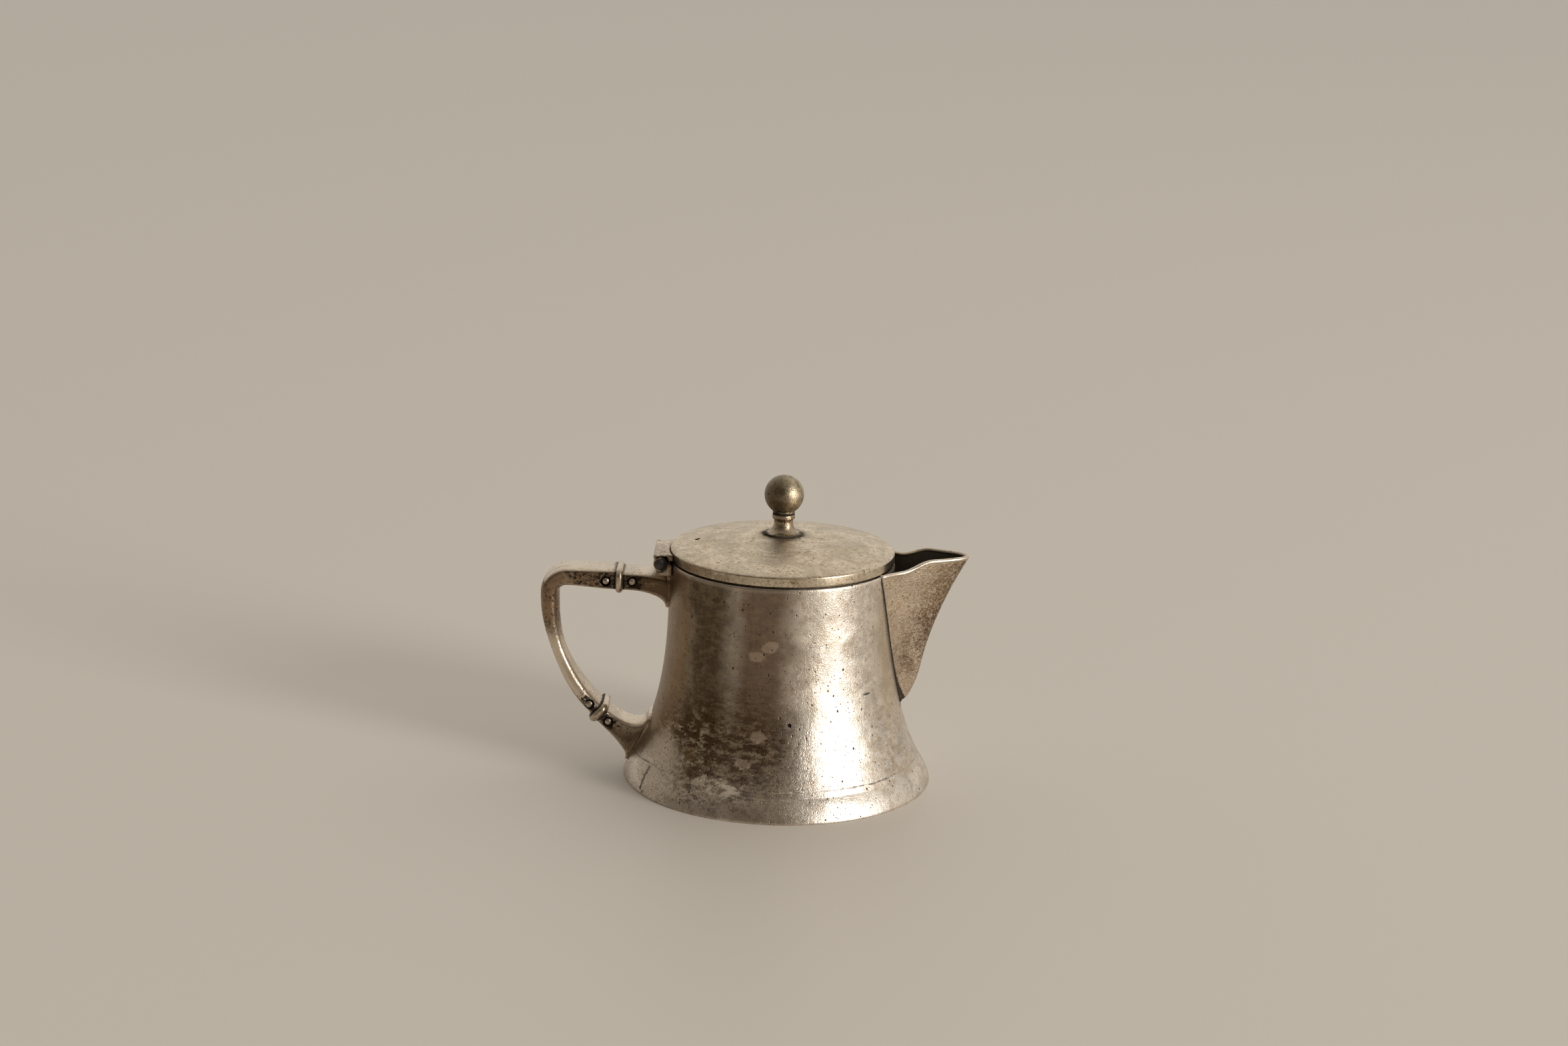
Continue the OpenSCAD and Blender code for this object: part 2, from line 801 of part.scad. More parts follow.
module lid_flange() {
    outer_r = rim_r - wall_t - flange_clearance;
    seat_r = lid_r - lid_t - solder_gap;
    seat_z = lid_z + flange_inset;
    color(dark_silver)
        rotate_extrude()
            polygon([
                [outer_r - flange_t, lid_z - flange_depth],
                [outer_r, lid_z - flange_depth],
                [outer_r, seat_z],
                [seat_r, seat_z],
                [seat_r, seat_z + flange_t],
                [outer_r - flange_t, seat_z + flange_t]
            ]);
}

module lid_hinge_strap() {
    under = knuckle_r + strap_gap;
    inner = hinge_out + lid_r / 2;
    web_x = knuckle_r + web_gap;
    color(silver)
        difference() {
            at_hinge()
                difference() {
                    union() {
                        difference() {
                            union() {
                                translate([-strap_out, -hinge_w / 2, under])
                                    cube([strap_out + inner, hinge_w, strap_t]);
                                translate([-strap_out, -hinge_w / 2, under - strap_lip_h])
                                    cube([strap_t, hinge_w, strap_lip_h]);
                                translate([web_x, -hinge_w / 2, web_z])
                                    cube([inner - web_x, hinge_w, under + strap_t / 2 - web_z]);
                            }
                            rod_across(hinge_w, under);
                        }
                        translate([-saddle_back, -lid_knuckle_w / 2, 0])
                            cube([saddle_back + saddle_front, lid_knuckle_w, under + strap_t / 2]);
                        rod_across(lid_knuckle_w / 2, knuckle_r);
                    }
                    rod_across(lid_knuckle_w, hinge_pin_r + pin_run_clearance);
                }
            translate([0, 0, lid_z - lid_edge_h])
                cylinder(h = 3 * lid_edge_h, r = lid_r + solder_gap);
        }
}

// ---- Finial ----

stem_top_z = lid_top_z + stem_h;
ball_z = stem_top_z + ball_sit;
washer_z = dome_z(washer_r) - lid_t - washer_t;
nut_z = washer_z - nut_h;

module finial_ball() {
    neck_h = ball_sit - sqrt(ball_r * ball_r - ball_neck_r * ball_neck_r) + overlap;
    color(olive_brass)
        difference() {
            union() {
                translate([0, 0, ball_z]) sphere(ball_r);
                translate([0, 0, stem_top_z]) cylinder(h = neck_h, r = ball_neck_r);
            }
            translate([0, 0, stem_top_z - overshoot])
                cylinder(h = stud_depth + overshoot, r = stud_r + stud_clearance);
            translate([0, 0, stem_top_z - ball_r]) cylinder(h = ball_r, r = ball_r);
        }
}

module finial_stem() {
    groove = 0.2;
    taper = 0.15;
    waist_z = stem_foot_h + 0.78 * (stem_h - stem_ring_h - stem_foot_h);
    flare_h = waist_z - stem_foot_h;
    flare_w = stem_foot_r - 1.5 * groove - stem_waist_r;
    color(silver)
        translate([0, 0, lid_top_z])
        rotate_extrude()
        polygon(concat(
            [
                [stud_r + stud_clearance, 0],
                [stem_foot_r, 0],
                [stem_foot_r, stem_foot_h]
            ],
            [for (a = [0:15:90])
                [stem_waist_r + flare_w * (1 - sin(a)), waist_z - flare_h * cos(a)]],
            [
                [stem_waist_r + taper, stem_h - stem_ring_h - groove],
                [stem_ring_r - groove, stem_h - stem_ring_h],
                [stem_ring_r, stem_h - stem_ring_h + groove],
                [stem_ring_r, stem_h - groove],
                [stem_ring_r - groove, stem_h],
                [stud_r + stud_clearance, stem_h]
            ]
        ));
}

module finial_stud() {
    bottom = nut_z - stud_tail;
    top = stem_top_z + stud_depth - overlap;
    color(dark_steel) translate([0, 0, bottom]) cylinder(h = top - bottom, r = stud_r);
}

module finial_washer() {
    color(silver)
        translate([0, 0, washer_z])
        difference() {
            cylinder(h = washer_t, r = washer_r);
            translate([0, 0, -overshoot])
                cylinder(h = washer_t + 2 * overshoot, r = stud_r + stud_clearance);
        }
}

module finial_nut() {
    color(dark_steel)
        translate([0, 0, nut_z])
        difference() {
            cylinder(h = nut_h, r = nut_flats / sqrt(3), $fn = 6);
            translate([0, 0, -overshoot])
                cylinder(h = nut_h + 2 * overshoot, r = stud_r + stud_clearance);
        }
}

body_shell();
foot_ring();
base_plate();
spout();
handle_upper_socket();
handle_upper_collar();
handle_grip();
handle_lower_collar();
handle_lower_socket();
handle_pins();
hinge_block();
hinge_pin();
lid_shell();
lid_flange();
lid_hinge_strap();
finial_ball();
finial_stem();
finial_stud();
finial_washer();
finial_nut();
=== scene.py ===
import math
from types import SimpleNamespace

import bmesh
import bpy
from mathutils import Matrix, Vector


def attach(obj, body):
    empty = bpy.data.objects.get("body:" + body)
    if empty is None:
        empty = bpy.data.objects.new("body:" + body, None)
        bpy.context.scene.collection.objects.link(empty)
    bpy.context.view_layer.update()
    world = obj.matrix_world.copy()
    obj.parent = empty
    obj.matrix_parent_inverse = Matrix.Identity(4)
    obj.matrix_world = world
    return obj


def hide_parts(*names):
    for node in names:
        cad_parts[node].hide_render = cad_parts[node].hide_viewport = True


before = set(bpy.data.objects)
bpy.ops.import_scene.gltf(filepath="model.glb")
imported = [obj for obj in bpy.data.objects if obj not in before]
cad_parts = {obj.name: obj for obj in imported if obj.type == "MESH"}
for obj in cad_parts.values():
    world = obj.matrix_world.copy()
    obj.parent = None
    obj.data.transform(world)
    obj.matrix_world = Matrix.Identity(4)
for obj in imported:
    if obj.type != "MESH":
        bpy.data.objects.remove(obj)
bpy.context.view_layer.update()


# ---- Pot wall ----
# The wall is one sheet of nickel silver, spun over a former: upright below the rim, flared below.
# It was silver plated. The plate is thin now, with brown stains, bare patches and small pits.

class Link:
    """An output of a node. It stands in sums, so that 1 - mask adds a Math node."""

    def __init__(self, graph, socket):
        self.graph = graph
        self.socket = socket

    def __getitem__(self, name):
        return Link(self.graph, pick(self.socket.node.outputs, name))

    def op(self, operation, *others):
        return self.graph.math(operation, self, *others)

    def __add__(self, other):
        return self.op("ADD", other)

    def __radd__(self, other):
        return self.graph.math("ADD", other, self)

    def __sub__(self, other):
        return self.op("SUBTRACT", other)

    def __rsub__(self, other):
        return self.graph.math("SUBTRACT", other, self)

    def __mul__(self, other):
        return self.op("MULTIPLY", other)

    def __rmul__(self, other):
        return self.graph.math("MULTIPLY", other, self)

    def __truediv__(self, other):
        return self.op("DIVIDE", other)

    def __rtruediv__(self, other):
        return self.graph.math("DIVIDE", other, self)

    def __pow__(self, other):
        return self.op("POWER", other)

    def __lt__(self, other):
        return self.op("LESS_THAN", other)

    def __gt__(self, other):
        return self.op("GREATER_THAN", other)

    def sin(self):
        return self.op("SINE")

    def cos(self):
        return self.op("COSINE")

    def size(self):
        return self.op("ABSOLUTE")

    def within(self, low, high):
        return self.op("MAXIMUM", low).op("MINIMUM", high)

    def soft(self, low, high):
        """0 below low, 1 above high, with a smooth step between; low may be the greater."""
        return self.graph.add(
            "ShaderNodeMapRange", {"Value": self, "From Min": low, "From Max": high},
            interpolation_type="SMOOTHSTEP",
        )


def pick(sockets, name):
    """A socket by its number, or by its name among those in use."""
    if isinstance(name, int):
        return sockets[name]
    return next(s for s in sockets if s.name == name and s.enabled)


class Graph:
    """A node tree that grows by one call a node. A node's settings are made before its inputs."""

    def __init__(self, tree):
        self.tree = tree

    def add(self, kind, values=None, **settings):
        node = self.tree.nodes.new(kind)
        for name, setting in settings.items():
            setattr(node, name, setting)
        for name, value in (values or {}).items():
            socket = pick(node.inputs, name)
            if isinstance(value, Link):
                self.tree.links.new(value.socket, socket)
            else:
                socket.default_value = value
        shown = [s for s in node.outputs if s.enabled]
        return Link(self, shown[0]) if shown else node

    def math(self, operation, *values):
        return self.add("ShaderNodeMath", dict(enumerate(values)), operation=operation)

    def most(self, first, *others):
        """The greatest of some masks."""
        for other in others:
            first = self.math("MAXIMUM", first, other)
        return first

    def vector(self, operation, *values):
        return self.add("ShaderNodeVectorMath", dict(enumerate(values)), operation=operation)

    def stretched(self, point, stretch):
        return self.vector("MULTIPLY", point, stretch)

    def parts(self, vector):
        split = self.add("ShaderNodeSeparateXYZ", {0: vector})
        return split["X"], split["Y"], split["Z"]

    def point(self, x=0.0, y=0.0, z=0.0):
        return self.add("ShaderNodeCombineXYZ", {"X": x, "Y": y, "Z": z})

    def noise(self, point, scale, detail=3, twist=0.0, rough=0.5):
        return self.add("ShaderNodeTexNoise", {
            "Vector": point, "Scale": scale, "Detail": detail, "Roughness": rough, "Distortion": twist,
        })

    def mix(self, mask, a, b):
        a, b = ((*c, 1) if isinstance(c, tuple) else c for c in (a, b))
        return self.add(
            "ShaderNodeMix", {"Factor": mask, "A": a, "B": b}, data_type="RGBA", clamp_factor=True
        )

    def dots(self, point, cell, radius, share):
        """Round dots: one may sit in each cell, and share says how many cells have theirs."""
        cells = self.add("ShaderNodeTexVoronoi", {"Vector": point, "Scale": 1 / cell, "Randomness": 1.0})
        chance = self.add("ShaderNodeSeparateColor", {0: cells["Color"]})
        reach = radius / cell * (0.5 + 0.7 * chance["Green"])
        inside = (cells["Distance"] - reach).soft(0.3 * radius / cell, -0.3 * radius / cell)
        return inside * (chance["Red"] < share)


def blank(owner):
    """The emptied tree of a material or a world."""
    owner.use_nodes = True
    owner.node_tree.nodes.clear()
    return Graph(owner.node_tree)


def aged_metal(name, plate, film, dark=(0.03, 0.022, 0.016), stains=0.5, roughness=0.34, pits=0.4,
               grain=1.0, marks=None):
    """Worn plate under a brown film. marks(g, mm, look) may change the look at given places and
    lay tints over it, each a mask and a colour. Dirt, and dark colour painted in as shade, lie
    over the metal: where their mask is 1 the surface is dull and not metal."""
    material = bpy.data.materials.new(name)
    g = blank(material)
    place = g.add("ShaderNodeTexCoord")["Object"]
    mm = g.add("ShaderNodeVectorMath", {0: place, "Scale": 1000}, operation="SCALE")
    broad = g.noise(mm, 0.045, 3, 0.6)
    cloud = g.noise(mm, 0.16, 5, 0.5, 0.62)
    fleck = g.noise(mm, 0.7, 4, 0.3, 0.62)
    pebble = g.noise(mm, 2.9, 3)
    flaked = g.noise(mm, 0.23, 7, 0.5, 0.7).soft(0.49, 0.55)
    base = g.mix(cloud.soft(0.38, 0.62), tuple(0.76 * c for c in plate), plate)
    look = SimpleNamespace(
        broad=broad, cloud=cloud, fleck=fleck, pebble=pebble, dark=dark, shift=0.0, dirt_and_shade=0.0,
        height=(fleck - 0.5) * (0.05 * grain) + (pebble - 0.5) * (0.07 * grain) + (broad - 0.5) * 0.5,
        rough=roughness + (fleck - 0.5) * 0.14, pit_share=pits + (cloud - 0.5) * 1.6, tints=[],
    )
    if marks:
        marks(g, mm, look)
    dull = broad * 0.34 + cloud * 0.40 + fleck * 0.26 + look.shift
    veil = dull.soft(0.58 - 0.22 * stains, 0.84 - 0.22 * stains)
    colour = g.mix(veil, g.mix(flaked * 0.3, base, film), film)
    specks = g.noise(g.stretched(mm, (1.0, 1.0, 1.5)), 1.25, 3, 0.6).soft(0.585, 0.65)
    colour = g.mix(specks * (0.25 + 0.5 * veil), colour, tuple(0.4 * c for c in film))
    for mask, tint in look.tints:
        colour = g.mix(mask, colour, tint)
    long = g.stretched(mm, (1.0, 1.0, 0.75))
    pit = g.most(g.dots(long, 2.3, 0.26, look.pit_share), g.dots(long, 1.0, 0.14, look.pit_share))
    rough = (look.rough + veil * 0.06 + pit * 0.3 + look.dirt_and_shade * 0.4).within(0.08, 0.95)
    bump = g.add("ShaderNodeBump", {
        "Strength": 1.0, "Distance": 0.001, "Height": look.height - pit * 0.06,
    })
    shader = g.add("ShaderNodeBsdfPrincipled", {
        "Base Color": g.mix(pit * 0.9, colour, dark), "Metallic": 1 - look.dirt_and_shade,
        "Roughness": rough, "Normal": bump, "Specular IOR Level": 0.1,
    })
    g.add("ShaderNodeOutputMaterial", {"Surface": shader})
    return material


def in_scene(name, data):
    piece = bpy.data.objects.new(name, data)
    bpy.context.scene.collection.objects.link(piece)
    return piece


def with_modifiers(piece):
    """The piece with its modifiers worked into its mesh, and no empty slot before its material."""
    bpy.context.view_layer.update()
    shape = piece.evaluated_get(bpy.context.evaluated_depsgraph_get())
    mesh = bpy.data.meshes.new_from_object(shape)
    piece.modifiers.clear()
    if mesh.materials[0] is None:
        mesh.materials.pop(index=0)
    piece.data = mesh
    return piece


def grown(name, given, build, carrier=None):
    """The plain mesh object that a tree of geometry nodes makes from named inputs."""
    tree = bpy.data.node_groups.new(name, "GeometryNodeTree")
    kinds = {float: "NodeSocketFloat", int: "NodeSocketInt", bpy.types.Material: "NodeSocketMaterial"}
    tree.interface.new_socket("Geometry", in_out="INPUT", socket_type="NodeSocketGeometry")
    for label, value in given.items():
        tree.interface.new_socket(label, in_out="INPUT", socket_type=kinds[type(value)])
    tree.interface.new_socket("Geometry", in_out="OUTPUT", socket_type="NodeSocketGeometry")
    graph = Graph(tree)
    graph.add("NodeGroupOutput", {"Geometry": build(graph, graph.add("NodeGroupInput"))})
    piece = in_scene(name, carrier or bpy.data.meshes.new(name))
    modifier = piece.modifiers.new(name, "NODES")
    modifier.node_group = tree
    for item in tree.interface.items_tree:
        if item.in_out == "INPUT" and item.name in given:
            modifier[item.identifier] = given[item.name]
    return with_modifiers(piece)


def finished(g, geometry, material, crease=0.6):
    """The end of each tree: real geometry, its material, and smooth faces between sharp edges."""
    real = g.add("GeometryNodeRealizeInstances", {"Geometry": geometry})
    smooth = g.add("GeometryNodeSetShadeSmooth", {"Geometry": real}, domain="FACE")
    bend = g.add("GeometryNodeInputMeshEdgeAngle")["Unsigned Angle"]
    sharp = g.add(
        "GeometryNodeSetShadeSmooth",
        {"Geometry": smooth, "Selection": bend > crease, "Shade Smooth": False}, domain="EDGE",
    )
    return g.add("GeometryNodeSetMaterial", {"Geometry": sharp, "Material": material})


def grid(g, columns, rows):
    """A flat grid, and how far across and along it a point is, each from -0.5 to 0.5."""
    flat = g.add("GeometryNodeMeshGrid", {
        "Size X": 1.0, "Size Y": 1.0, "Vertices X": columns, "Vertices Y": rows,
    })
    return flat, *g.parts(g.add("GeometryNodeInputPosition"))[:2]


def wrapped(g, flat, place):
    """The grid with its points moved to their places, and welded where they meet."""
    bent = g.add("GeometryNodeSetPosition", {"Geometry": flat, "Position": place})
    return g.add("GeometryNodeMergeByDistance", {"Geometry": bent, "Distance": 0.00001})


def rod(g, sides, radius, depth):
    return g.add("GeometryNodeMeshCylinder", {"Vertices": sides, "Radius": radius, "Depth": depth})


def cut(g, body, tool):
    return g.add(
        "GeometryNodeMeshBoolean", {"Mesh 1": body, "Mesh 2": tool},
        operation="DIFFERENCE", solver="EXACT",
    )


rim_z, rim_r, wall_t = 0.0649, 0.0326, 0.001
shoulder_r, foot_h, flare_power = 0.0418, 0.0065, 3.3
root_drop, spout_half_w, seam_power = 0.0416, 0.0165, 0.85
root_z = rim_z - root_drop


def wall_r(z):
    return rim_r + (shoulder_r - rim_r) * (max(0.0, rim_z - z) / (rim_z - foot_h)) ** flare_power


def wall_line(z):
    """The same radius for a material, from a height: both in millimetres."""
    drop = ((rim_z * 1000 - z) / ((rim_z - foot_h) * 1000)).within(0, 1)
    return (rim_r + (shoulder_r - rim_r) * drop ** flare_power) * 1000


def length(x, y):
    return (x * x + y * y).op("SQRT")


def turned(g, mm):
    """Angle round the pot in degrees, height and radius in millimetres, of a point."""
    x, y, z = g.parts(mm)
    return g.math("ARCTAN2", y, x) * (180 / math.pi), z, length(x, y)


def pot_marks(g, mm, look):
    angle, z, radius = turned(g, mm)
    side = (radius * (angle * (math.pi / 180)).sin()).size()
    cloud, fleck = look.cloud, look.fleck
    ragged = (fleck - 0.5) * 2.6 + (cloud - 0.5) * 2.2
    spun = g.noise(g.stretched(mm, (0.7, 0.7, 1.6)), 0.42, 9, 0.12, 0.78)
    crust = g.noise(g.stretched(mm, (0.9, 0.9, 1.5)), 1.5, 5, 0.2, 0.7)
    drawn = g.noise(g.stretched(mm, (1.3, 1.3, 0.14)), 1.0, 3)
    sway = angle + (look.broad - 0.5) * 16 + (cloud - 0.5) * 10
    middle_r = 36

    def at(middle, height, wide, tall, edge=0.35):
        """A ragged patch about an angle and a height, wide and tall in millimetres each way."""
        across = (angle - middle) * (math.pi / 180 * middle_r / wide)
        up = (z - height) / tall
        return (across * across + up * up + ragged).soft(1 + edge, 1 - edge)

    def band(start, full, end, gone):
        return sway.soft(start, full) * sway.soft(gone, end)

    # Brown film down the left of the pot, golden at its far side and rosy in front of it, painted darker
    # than the film itself as a reflection of a dark room
    gold = band(-204, -190, -146, -136)
    brown = band(-150, -136, -124, -106)
    rosy = band(-118, -106, -94, -76)
    honey = band(-38, -26, -16, -2) * z.soft(17, 30)
    tea = spun.soft(0.48, 0.56) * at(-30, 17, 10, 9, 0.9)
    behind = band(60, 90, 140, 172)
    above = 0.2 + 0.8 * z.soft(7, 20)
    rubbed = (gold + brown + rosy) * above * (spun.soft(0.53, 0.44) * 0.7 + drawn.soft(0.56, 0.44) * 0.2)
    # Crust, bare plate and chalky patches low on the left, and small flakes about the front
    low = at(-119, 18, 18, 11, 0.8)
    pale = g.most(at(-114.5, 8.2, 7, 2.3), at(-146, 9.5, 9, 7.5, 0.8))
    chalky = pale * fleck.soft(0.30, 0.52)
    flakes = g.most(at(-95, 48.2, 2.6, 1.7), at(-101, 45.0, 2.6, 1.4),
                    at(-98.9, 22.5, 2.3, 1.5), at(-104.7, 14.8, 2.0, 1.4))
    rust = at(-131, 14.9, 1.5, 2.0) * 0.7
    smear = spun.soft(0.50, 0.545) * at(-119, 8.0, 16, 5, 0.7)
    streaks = spun.soft(0.47, 0.58) * at(-119, 21, 20, 12, 0.9)
    bare = spun.soft(0.50, 0.42) * at(-118, 11, 25, 12, 0.9)
    crumbs = (crust + (cloud - 0.5) * 0.3).soft(0.56, 0.60) * at(-112, 17, 27, 15, 0.9)
    sandy = look.pebble.soft(0.53, 0.60) * z.soft(16, 9) * sway.soft(-108, -124)
    # A gouge, a scratch, two cracks near the foot, and the soldered line above the foot
    gouge = at(-84.7, 26.1, 0.55, 0.6, 0.3)
    scratch = at(-42.5, 32.2, 1.6, 0.28, 0.8)
    bent = angle + (look.pebble - 0.5) * 5
    crack_one = (bent + 163.0 - (z - 7.5) * 14).size().soft(1.7, 0.5) * (z - 7.5).size().soft(0.8, 0.6)
    crack_two = (bent + 151.5 + (z - 4) * 0.2).size().soft(0.7, 0.15) * (z - 4.3).size().soft(3.4, 2.9)
    crease = (z - 8.2 + (cloud - 0.5) * 0.8).size().soft(0.32, 0.06)
    groove = crease * spun.soft(0.42, 0.56) * (0.45 + 0.55 * band(-64, -50, -34, -24))
    line = g.most(groove * 0.75, scratch * 0.8, gouge, crack_one, crack_two)
    # Painted shade beside the spout's seam, standing in for the spout's shadow and its dark reflection
    # in the wall, wider towards its root
    climb = ((z - root_z * 1000) / (root_drop * 1000)).within(0.0, 1.0)
    beside = side - spout_half_w * 1000 * climb ** seam_power + (fleck - 0.5) * 1.2
    seam = (beside.soft(9.5 - 8.6 * climb, 0.2) * beside.soft(-2.0, -0.5)
            * z.soft(21.5, 23.0) * angle.size().soft(70, 60))
    # The rim painted lighter as a highlight, the dark inside of the wall, and the wall's top behind the
    # spout painted dark as the lid's shadow
    top = z.soft(63.2, 64.6)
    inside = (radius - (wall_line(z) - wall_t * 500)).soft(0.1, -0.1) * z.soft(64.7, 64.2)
    # Painted shadow of the lid on the wall's top behind the spout
    inside = g.most(inside, angle.size().soft(29, 27) * z.soft(61.5, 62.5))
    # More film on the brown band, low on the left and at the back; less where the window's highlight
    # falls, so the plate there is painted paler as a highlight
    look.shift = brown * 0.04 + low * 0.14 + behind * 0.08 - at(-60, 24, 15, 40, 0.9) * 0.10
    look.pit_share = (look.pit_share + low * 0.3 + at(-66, 30, 18, 34, 0.9) * 0.45
                      - brown * z.soft(26, 34) * 0.4)
    look.height += (drawn - 0.5) * 0.035
    for mark, depth in ((gouge, 0.25), (crack_one, 0.12), (crack_two, 0.12), (groove, 0.05),
                        (scratch, 0.04)):
        look.height -= mark * depth
    look.rough = look.rough + brown * 0.06 - pale * 0.04
    look.dirt_and_shade = g.most(seam, inside) * 0.95 + flakes * 0.35 + chalky * (1 - smear) * 0.5
    look.tints = [
        # Brown film on the left, darkened further as a painted reflection of a dark room
        (gold * above * 0.88, (0.205, 0.127, 0.058)),
        (brown * above * 0.93, (0.060, 0.035, 0.014)),
        (rosy * above * 0.85, (0.135, 0.080, 0.046)),
        (rubbed * 0.28, (0.46, 0.34, 0.21)),
        (honey * 0.55, (0.62, 0.48, 0.31)),
        (tea * 0.45, (0.36, 0.25, 0.14)),
        (bare * 0.75, (0.72, 0.60, 0.46)),
        (streaks * 0.65, (0.105, 0.058, 0.026)),
        (crumbs * 0.75, (0.062, 0.036, 0.020)),
        (chalky * 0.85, (0.76, 0.655, 0.535)),
        (smear * (1 - pale * 0.6) * 0.7, (0.12, 0.068, 0.040)),
        (sandy * 0.6, (0.13, 0.085, 0.052)),
        (rust * 0.8, (0.20, 0.115, 0.045)),
        (flakes * 0.5, (0.48, 0.38, 0.28)),
        # Painted shade beside the spout's seam
        (seam * 0.92, (0.030, 0.022, 0.015)),
        (line, look.dark),
        # Painted highlight along the rim
        (top * 0.35, (0.74, 0.66, 0.56)),
        # The dark inside of the wall, with the painted shadow of the lid behind the spout
        (inside * 0.93, (0.055, 0.042, 0.03)),
    ]


pot_silver = aged_metal(
    "pot worn plate", (0.88, 0.80, 0.70), (0.38, 0.27, 0.17), (0.03, 0.02, 0.014),
    stains=0.45, roughness=0.33, pits=0.65, marks=pot_marks,
)


def wall_tree(g, given):
    flat, across, along = grid(g, given["Columns"], given["Rows"])
    turn = (across + 0.5) * (2 * math.pi)
    # The rows run up the outside, over the round edge, and down the inside to the bottom edge
    lip, last_row = 0.03, 0.4999
    half = given["Thickness"] * 0.5
    over = (along / lip).within(-1, 1) * (math.pi / 2)
    inward = half * (1 + over.sin()) * (along < last_row)
    rise = 1 - ((along.size() - lip) / (0.5 - lip)).within(0, 1)
    height = given["Rim height"] - given["Foot height"]
    z = given["Foot height"] + (height - half) * rise + half * over.cos()
    drop = ((given["Rim height"] - z) / height).within(0, 1)
    spread = given["Shoulder radius"] - given["Rim radius"]
    radius = given["Rim radius"] + spread * drop ** given["Flare"] - inward
    sheet = wrapped(g, flat, g.point(radius * turn.cos(), radius * turn.sin(), z))
    # The strainer behind the spout: rows of drilled holes, one hole fewer in each row down
    rows, pitch = given["Strainer rows"], given["Strainer pitch"]
    count = g.add("GeometryNodeInputIndex")
    row = ((count + 0.5) / rows).op("FLOOR")
    column = count - row * rows
    in_row = rows - row
    spot = g.point(given["Rim radius"], (column - (in_row - 1) * 0.5) * pitch,
                   given["Rim height"] - given["Strainer drop"] - row * pitch)
    points = g.add("GeometryNodePoints", {"Count": rows * rows, "Position": spot})
    kept = g.add(
        "GeometryNodeDeleteGeometry", {"Geometry": points, "Selection": (column + 0.5) > in_row},
        domain="POINT",
    )
    drills = g.add("GeometryNodeInstanceOnPoints", {
        "Points": kept, "Instance": rod(g, 20, given["Strainer hole"], given["Rim radius"] * 0.5),
        "Rotation": (0.0, math.pi / 2, 0.0),
    })
    drills = g.add("GeometryNodeRealizeInstances", {"Geometry": drills})
    return finished(g, cut(g, sheet, drills), given["Metal"])


wall = grown("pot_wall", {
    "Rim height": rim_z, "Rim radius": rim_r, "Thickness": wall_t, "Shoulder radius": shoulder_r,
    "Foot height": foot_h, "Flare": flare_power, "Columns": 257, "Rows": 151,
    "Strainer rows": 5, "Strainer pitch": 0.0044, "Strainer drop": 0.009, "Strainer hole": 0.0012,
    "Metal": pot_silver,
}, wall_tree)
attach(wall, "pot")
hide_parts("body_shell")


# ---- Foot ----
# A cast ring soldered under the wall, so that the flare runs on to a thin rounded edge.
# A flat plate closes the pot from below; it lies on the ring's ledge, dull and unpolished.

foot_r, foot_bulge, foot_edge = 0.045, 0.0003, 0.0005
foot_wall, ledge_r, ledge_z = 0.0016, 0.039, 0.0055


def piece_of(name, bm, material=None):
    """The object made of a drawn mesh."""
    mesh = bpy.data.meshes.new(name)
    bm.to_mesh(mesh)
    bm.free()
    if material:
        mesh.materials.append(material)
    return in_scene(name, mesh)


def smoothed(piece, crease=None):
    """The piece with smooth faces, between edges sharper than the crease in degrees."""
    for face in piece.data.polygons:
        face.use_smooth = True
    if crease:
        piece.data.set_sharp_from_angle(angle=math.radians(crease))
    return piece


def lofted(name, rings, material, joined=False, capped=False):
    """A skin over rings of points, where a ring of one point is a pole. It may be joined from its
    last ring to its first, or capped at both ends."""
    bm = bmesh.new()
    count = max(len(ring) for ring in rings)
    made = [[bm.verts.new(p) for p in ring] * (count // len(ring)) for ring in rings]
    for low, high in zip(made, made[1:] + (made[:1] if joined else [])):
        for k in range(count):
            after = (k + 1) % count
            corners = list(dict.fromkeys((low[k], low[after], high[after], high[k])))
            if len(corners) > 2:
                bm.faces.new(corners)
    if capped:
        bm.faces.new(made[0])
        bm.faces.new(made[-1])
    bmesh.ops.recalc_face_normals(bm, faces=bm.faces)
    return piece_of(name, bm, material)


def revolved(name, profile, material, segments, crease=35):
    """Turns a profile of (radius, height) about the pot's axis. A radius of 0 closes the pole."""
    turns = [2 * math.pi * k / segments for k in range(segments)]
    rings = [[(r * math.cos(a), r * math.sin(a), z) for a in turns] if r > 1e-7 else [(0, 0, z)]
             for r, z in profile]
    joined = len(rings[0]) > 1 and len(rings[-1]) > 1
    return smoothed(lofted(name, rings, material, joined), crease)


def rounded(points, radius, steps=4):
    """An open outline with each inner corner cut to an arc-like curve."""
    made = [points[0]]
    for before, corner, after in zip(points, points[1:], points[2:]):
        a, b, c = Vector(before), Vector(corner), Vector(after)
        reach = min(radius, (a - b).length * 0.45, (c - b).length * 0.45)
        start, end = b + (a - b).normalized() * reach, b + (c - b).normalized() * reach
        for k in range(steps + 1):
            t = k / steps
            made.append(tuple(start * (1 - t) ** 2 + b * (2 * t * (1 - t)) + end * t ** 2))
    return made + [points[-1]]


def foot_side(z):
    t = (z - foot_edge) / (foot_h - foot_edge)
    return foot_r + (shoulder_r - foot_r) * t + foot_bulge * 4 * t * (1 - t)


def recoat(material, *nodes):
    """Gives a material to solids that stay in view as they are."""
    for node in nodes:
        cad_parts[node].data.materials.clear()
        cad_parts[node].data.materials.append(material)


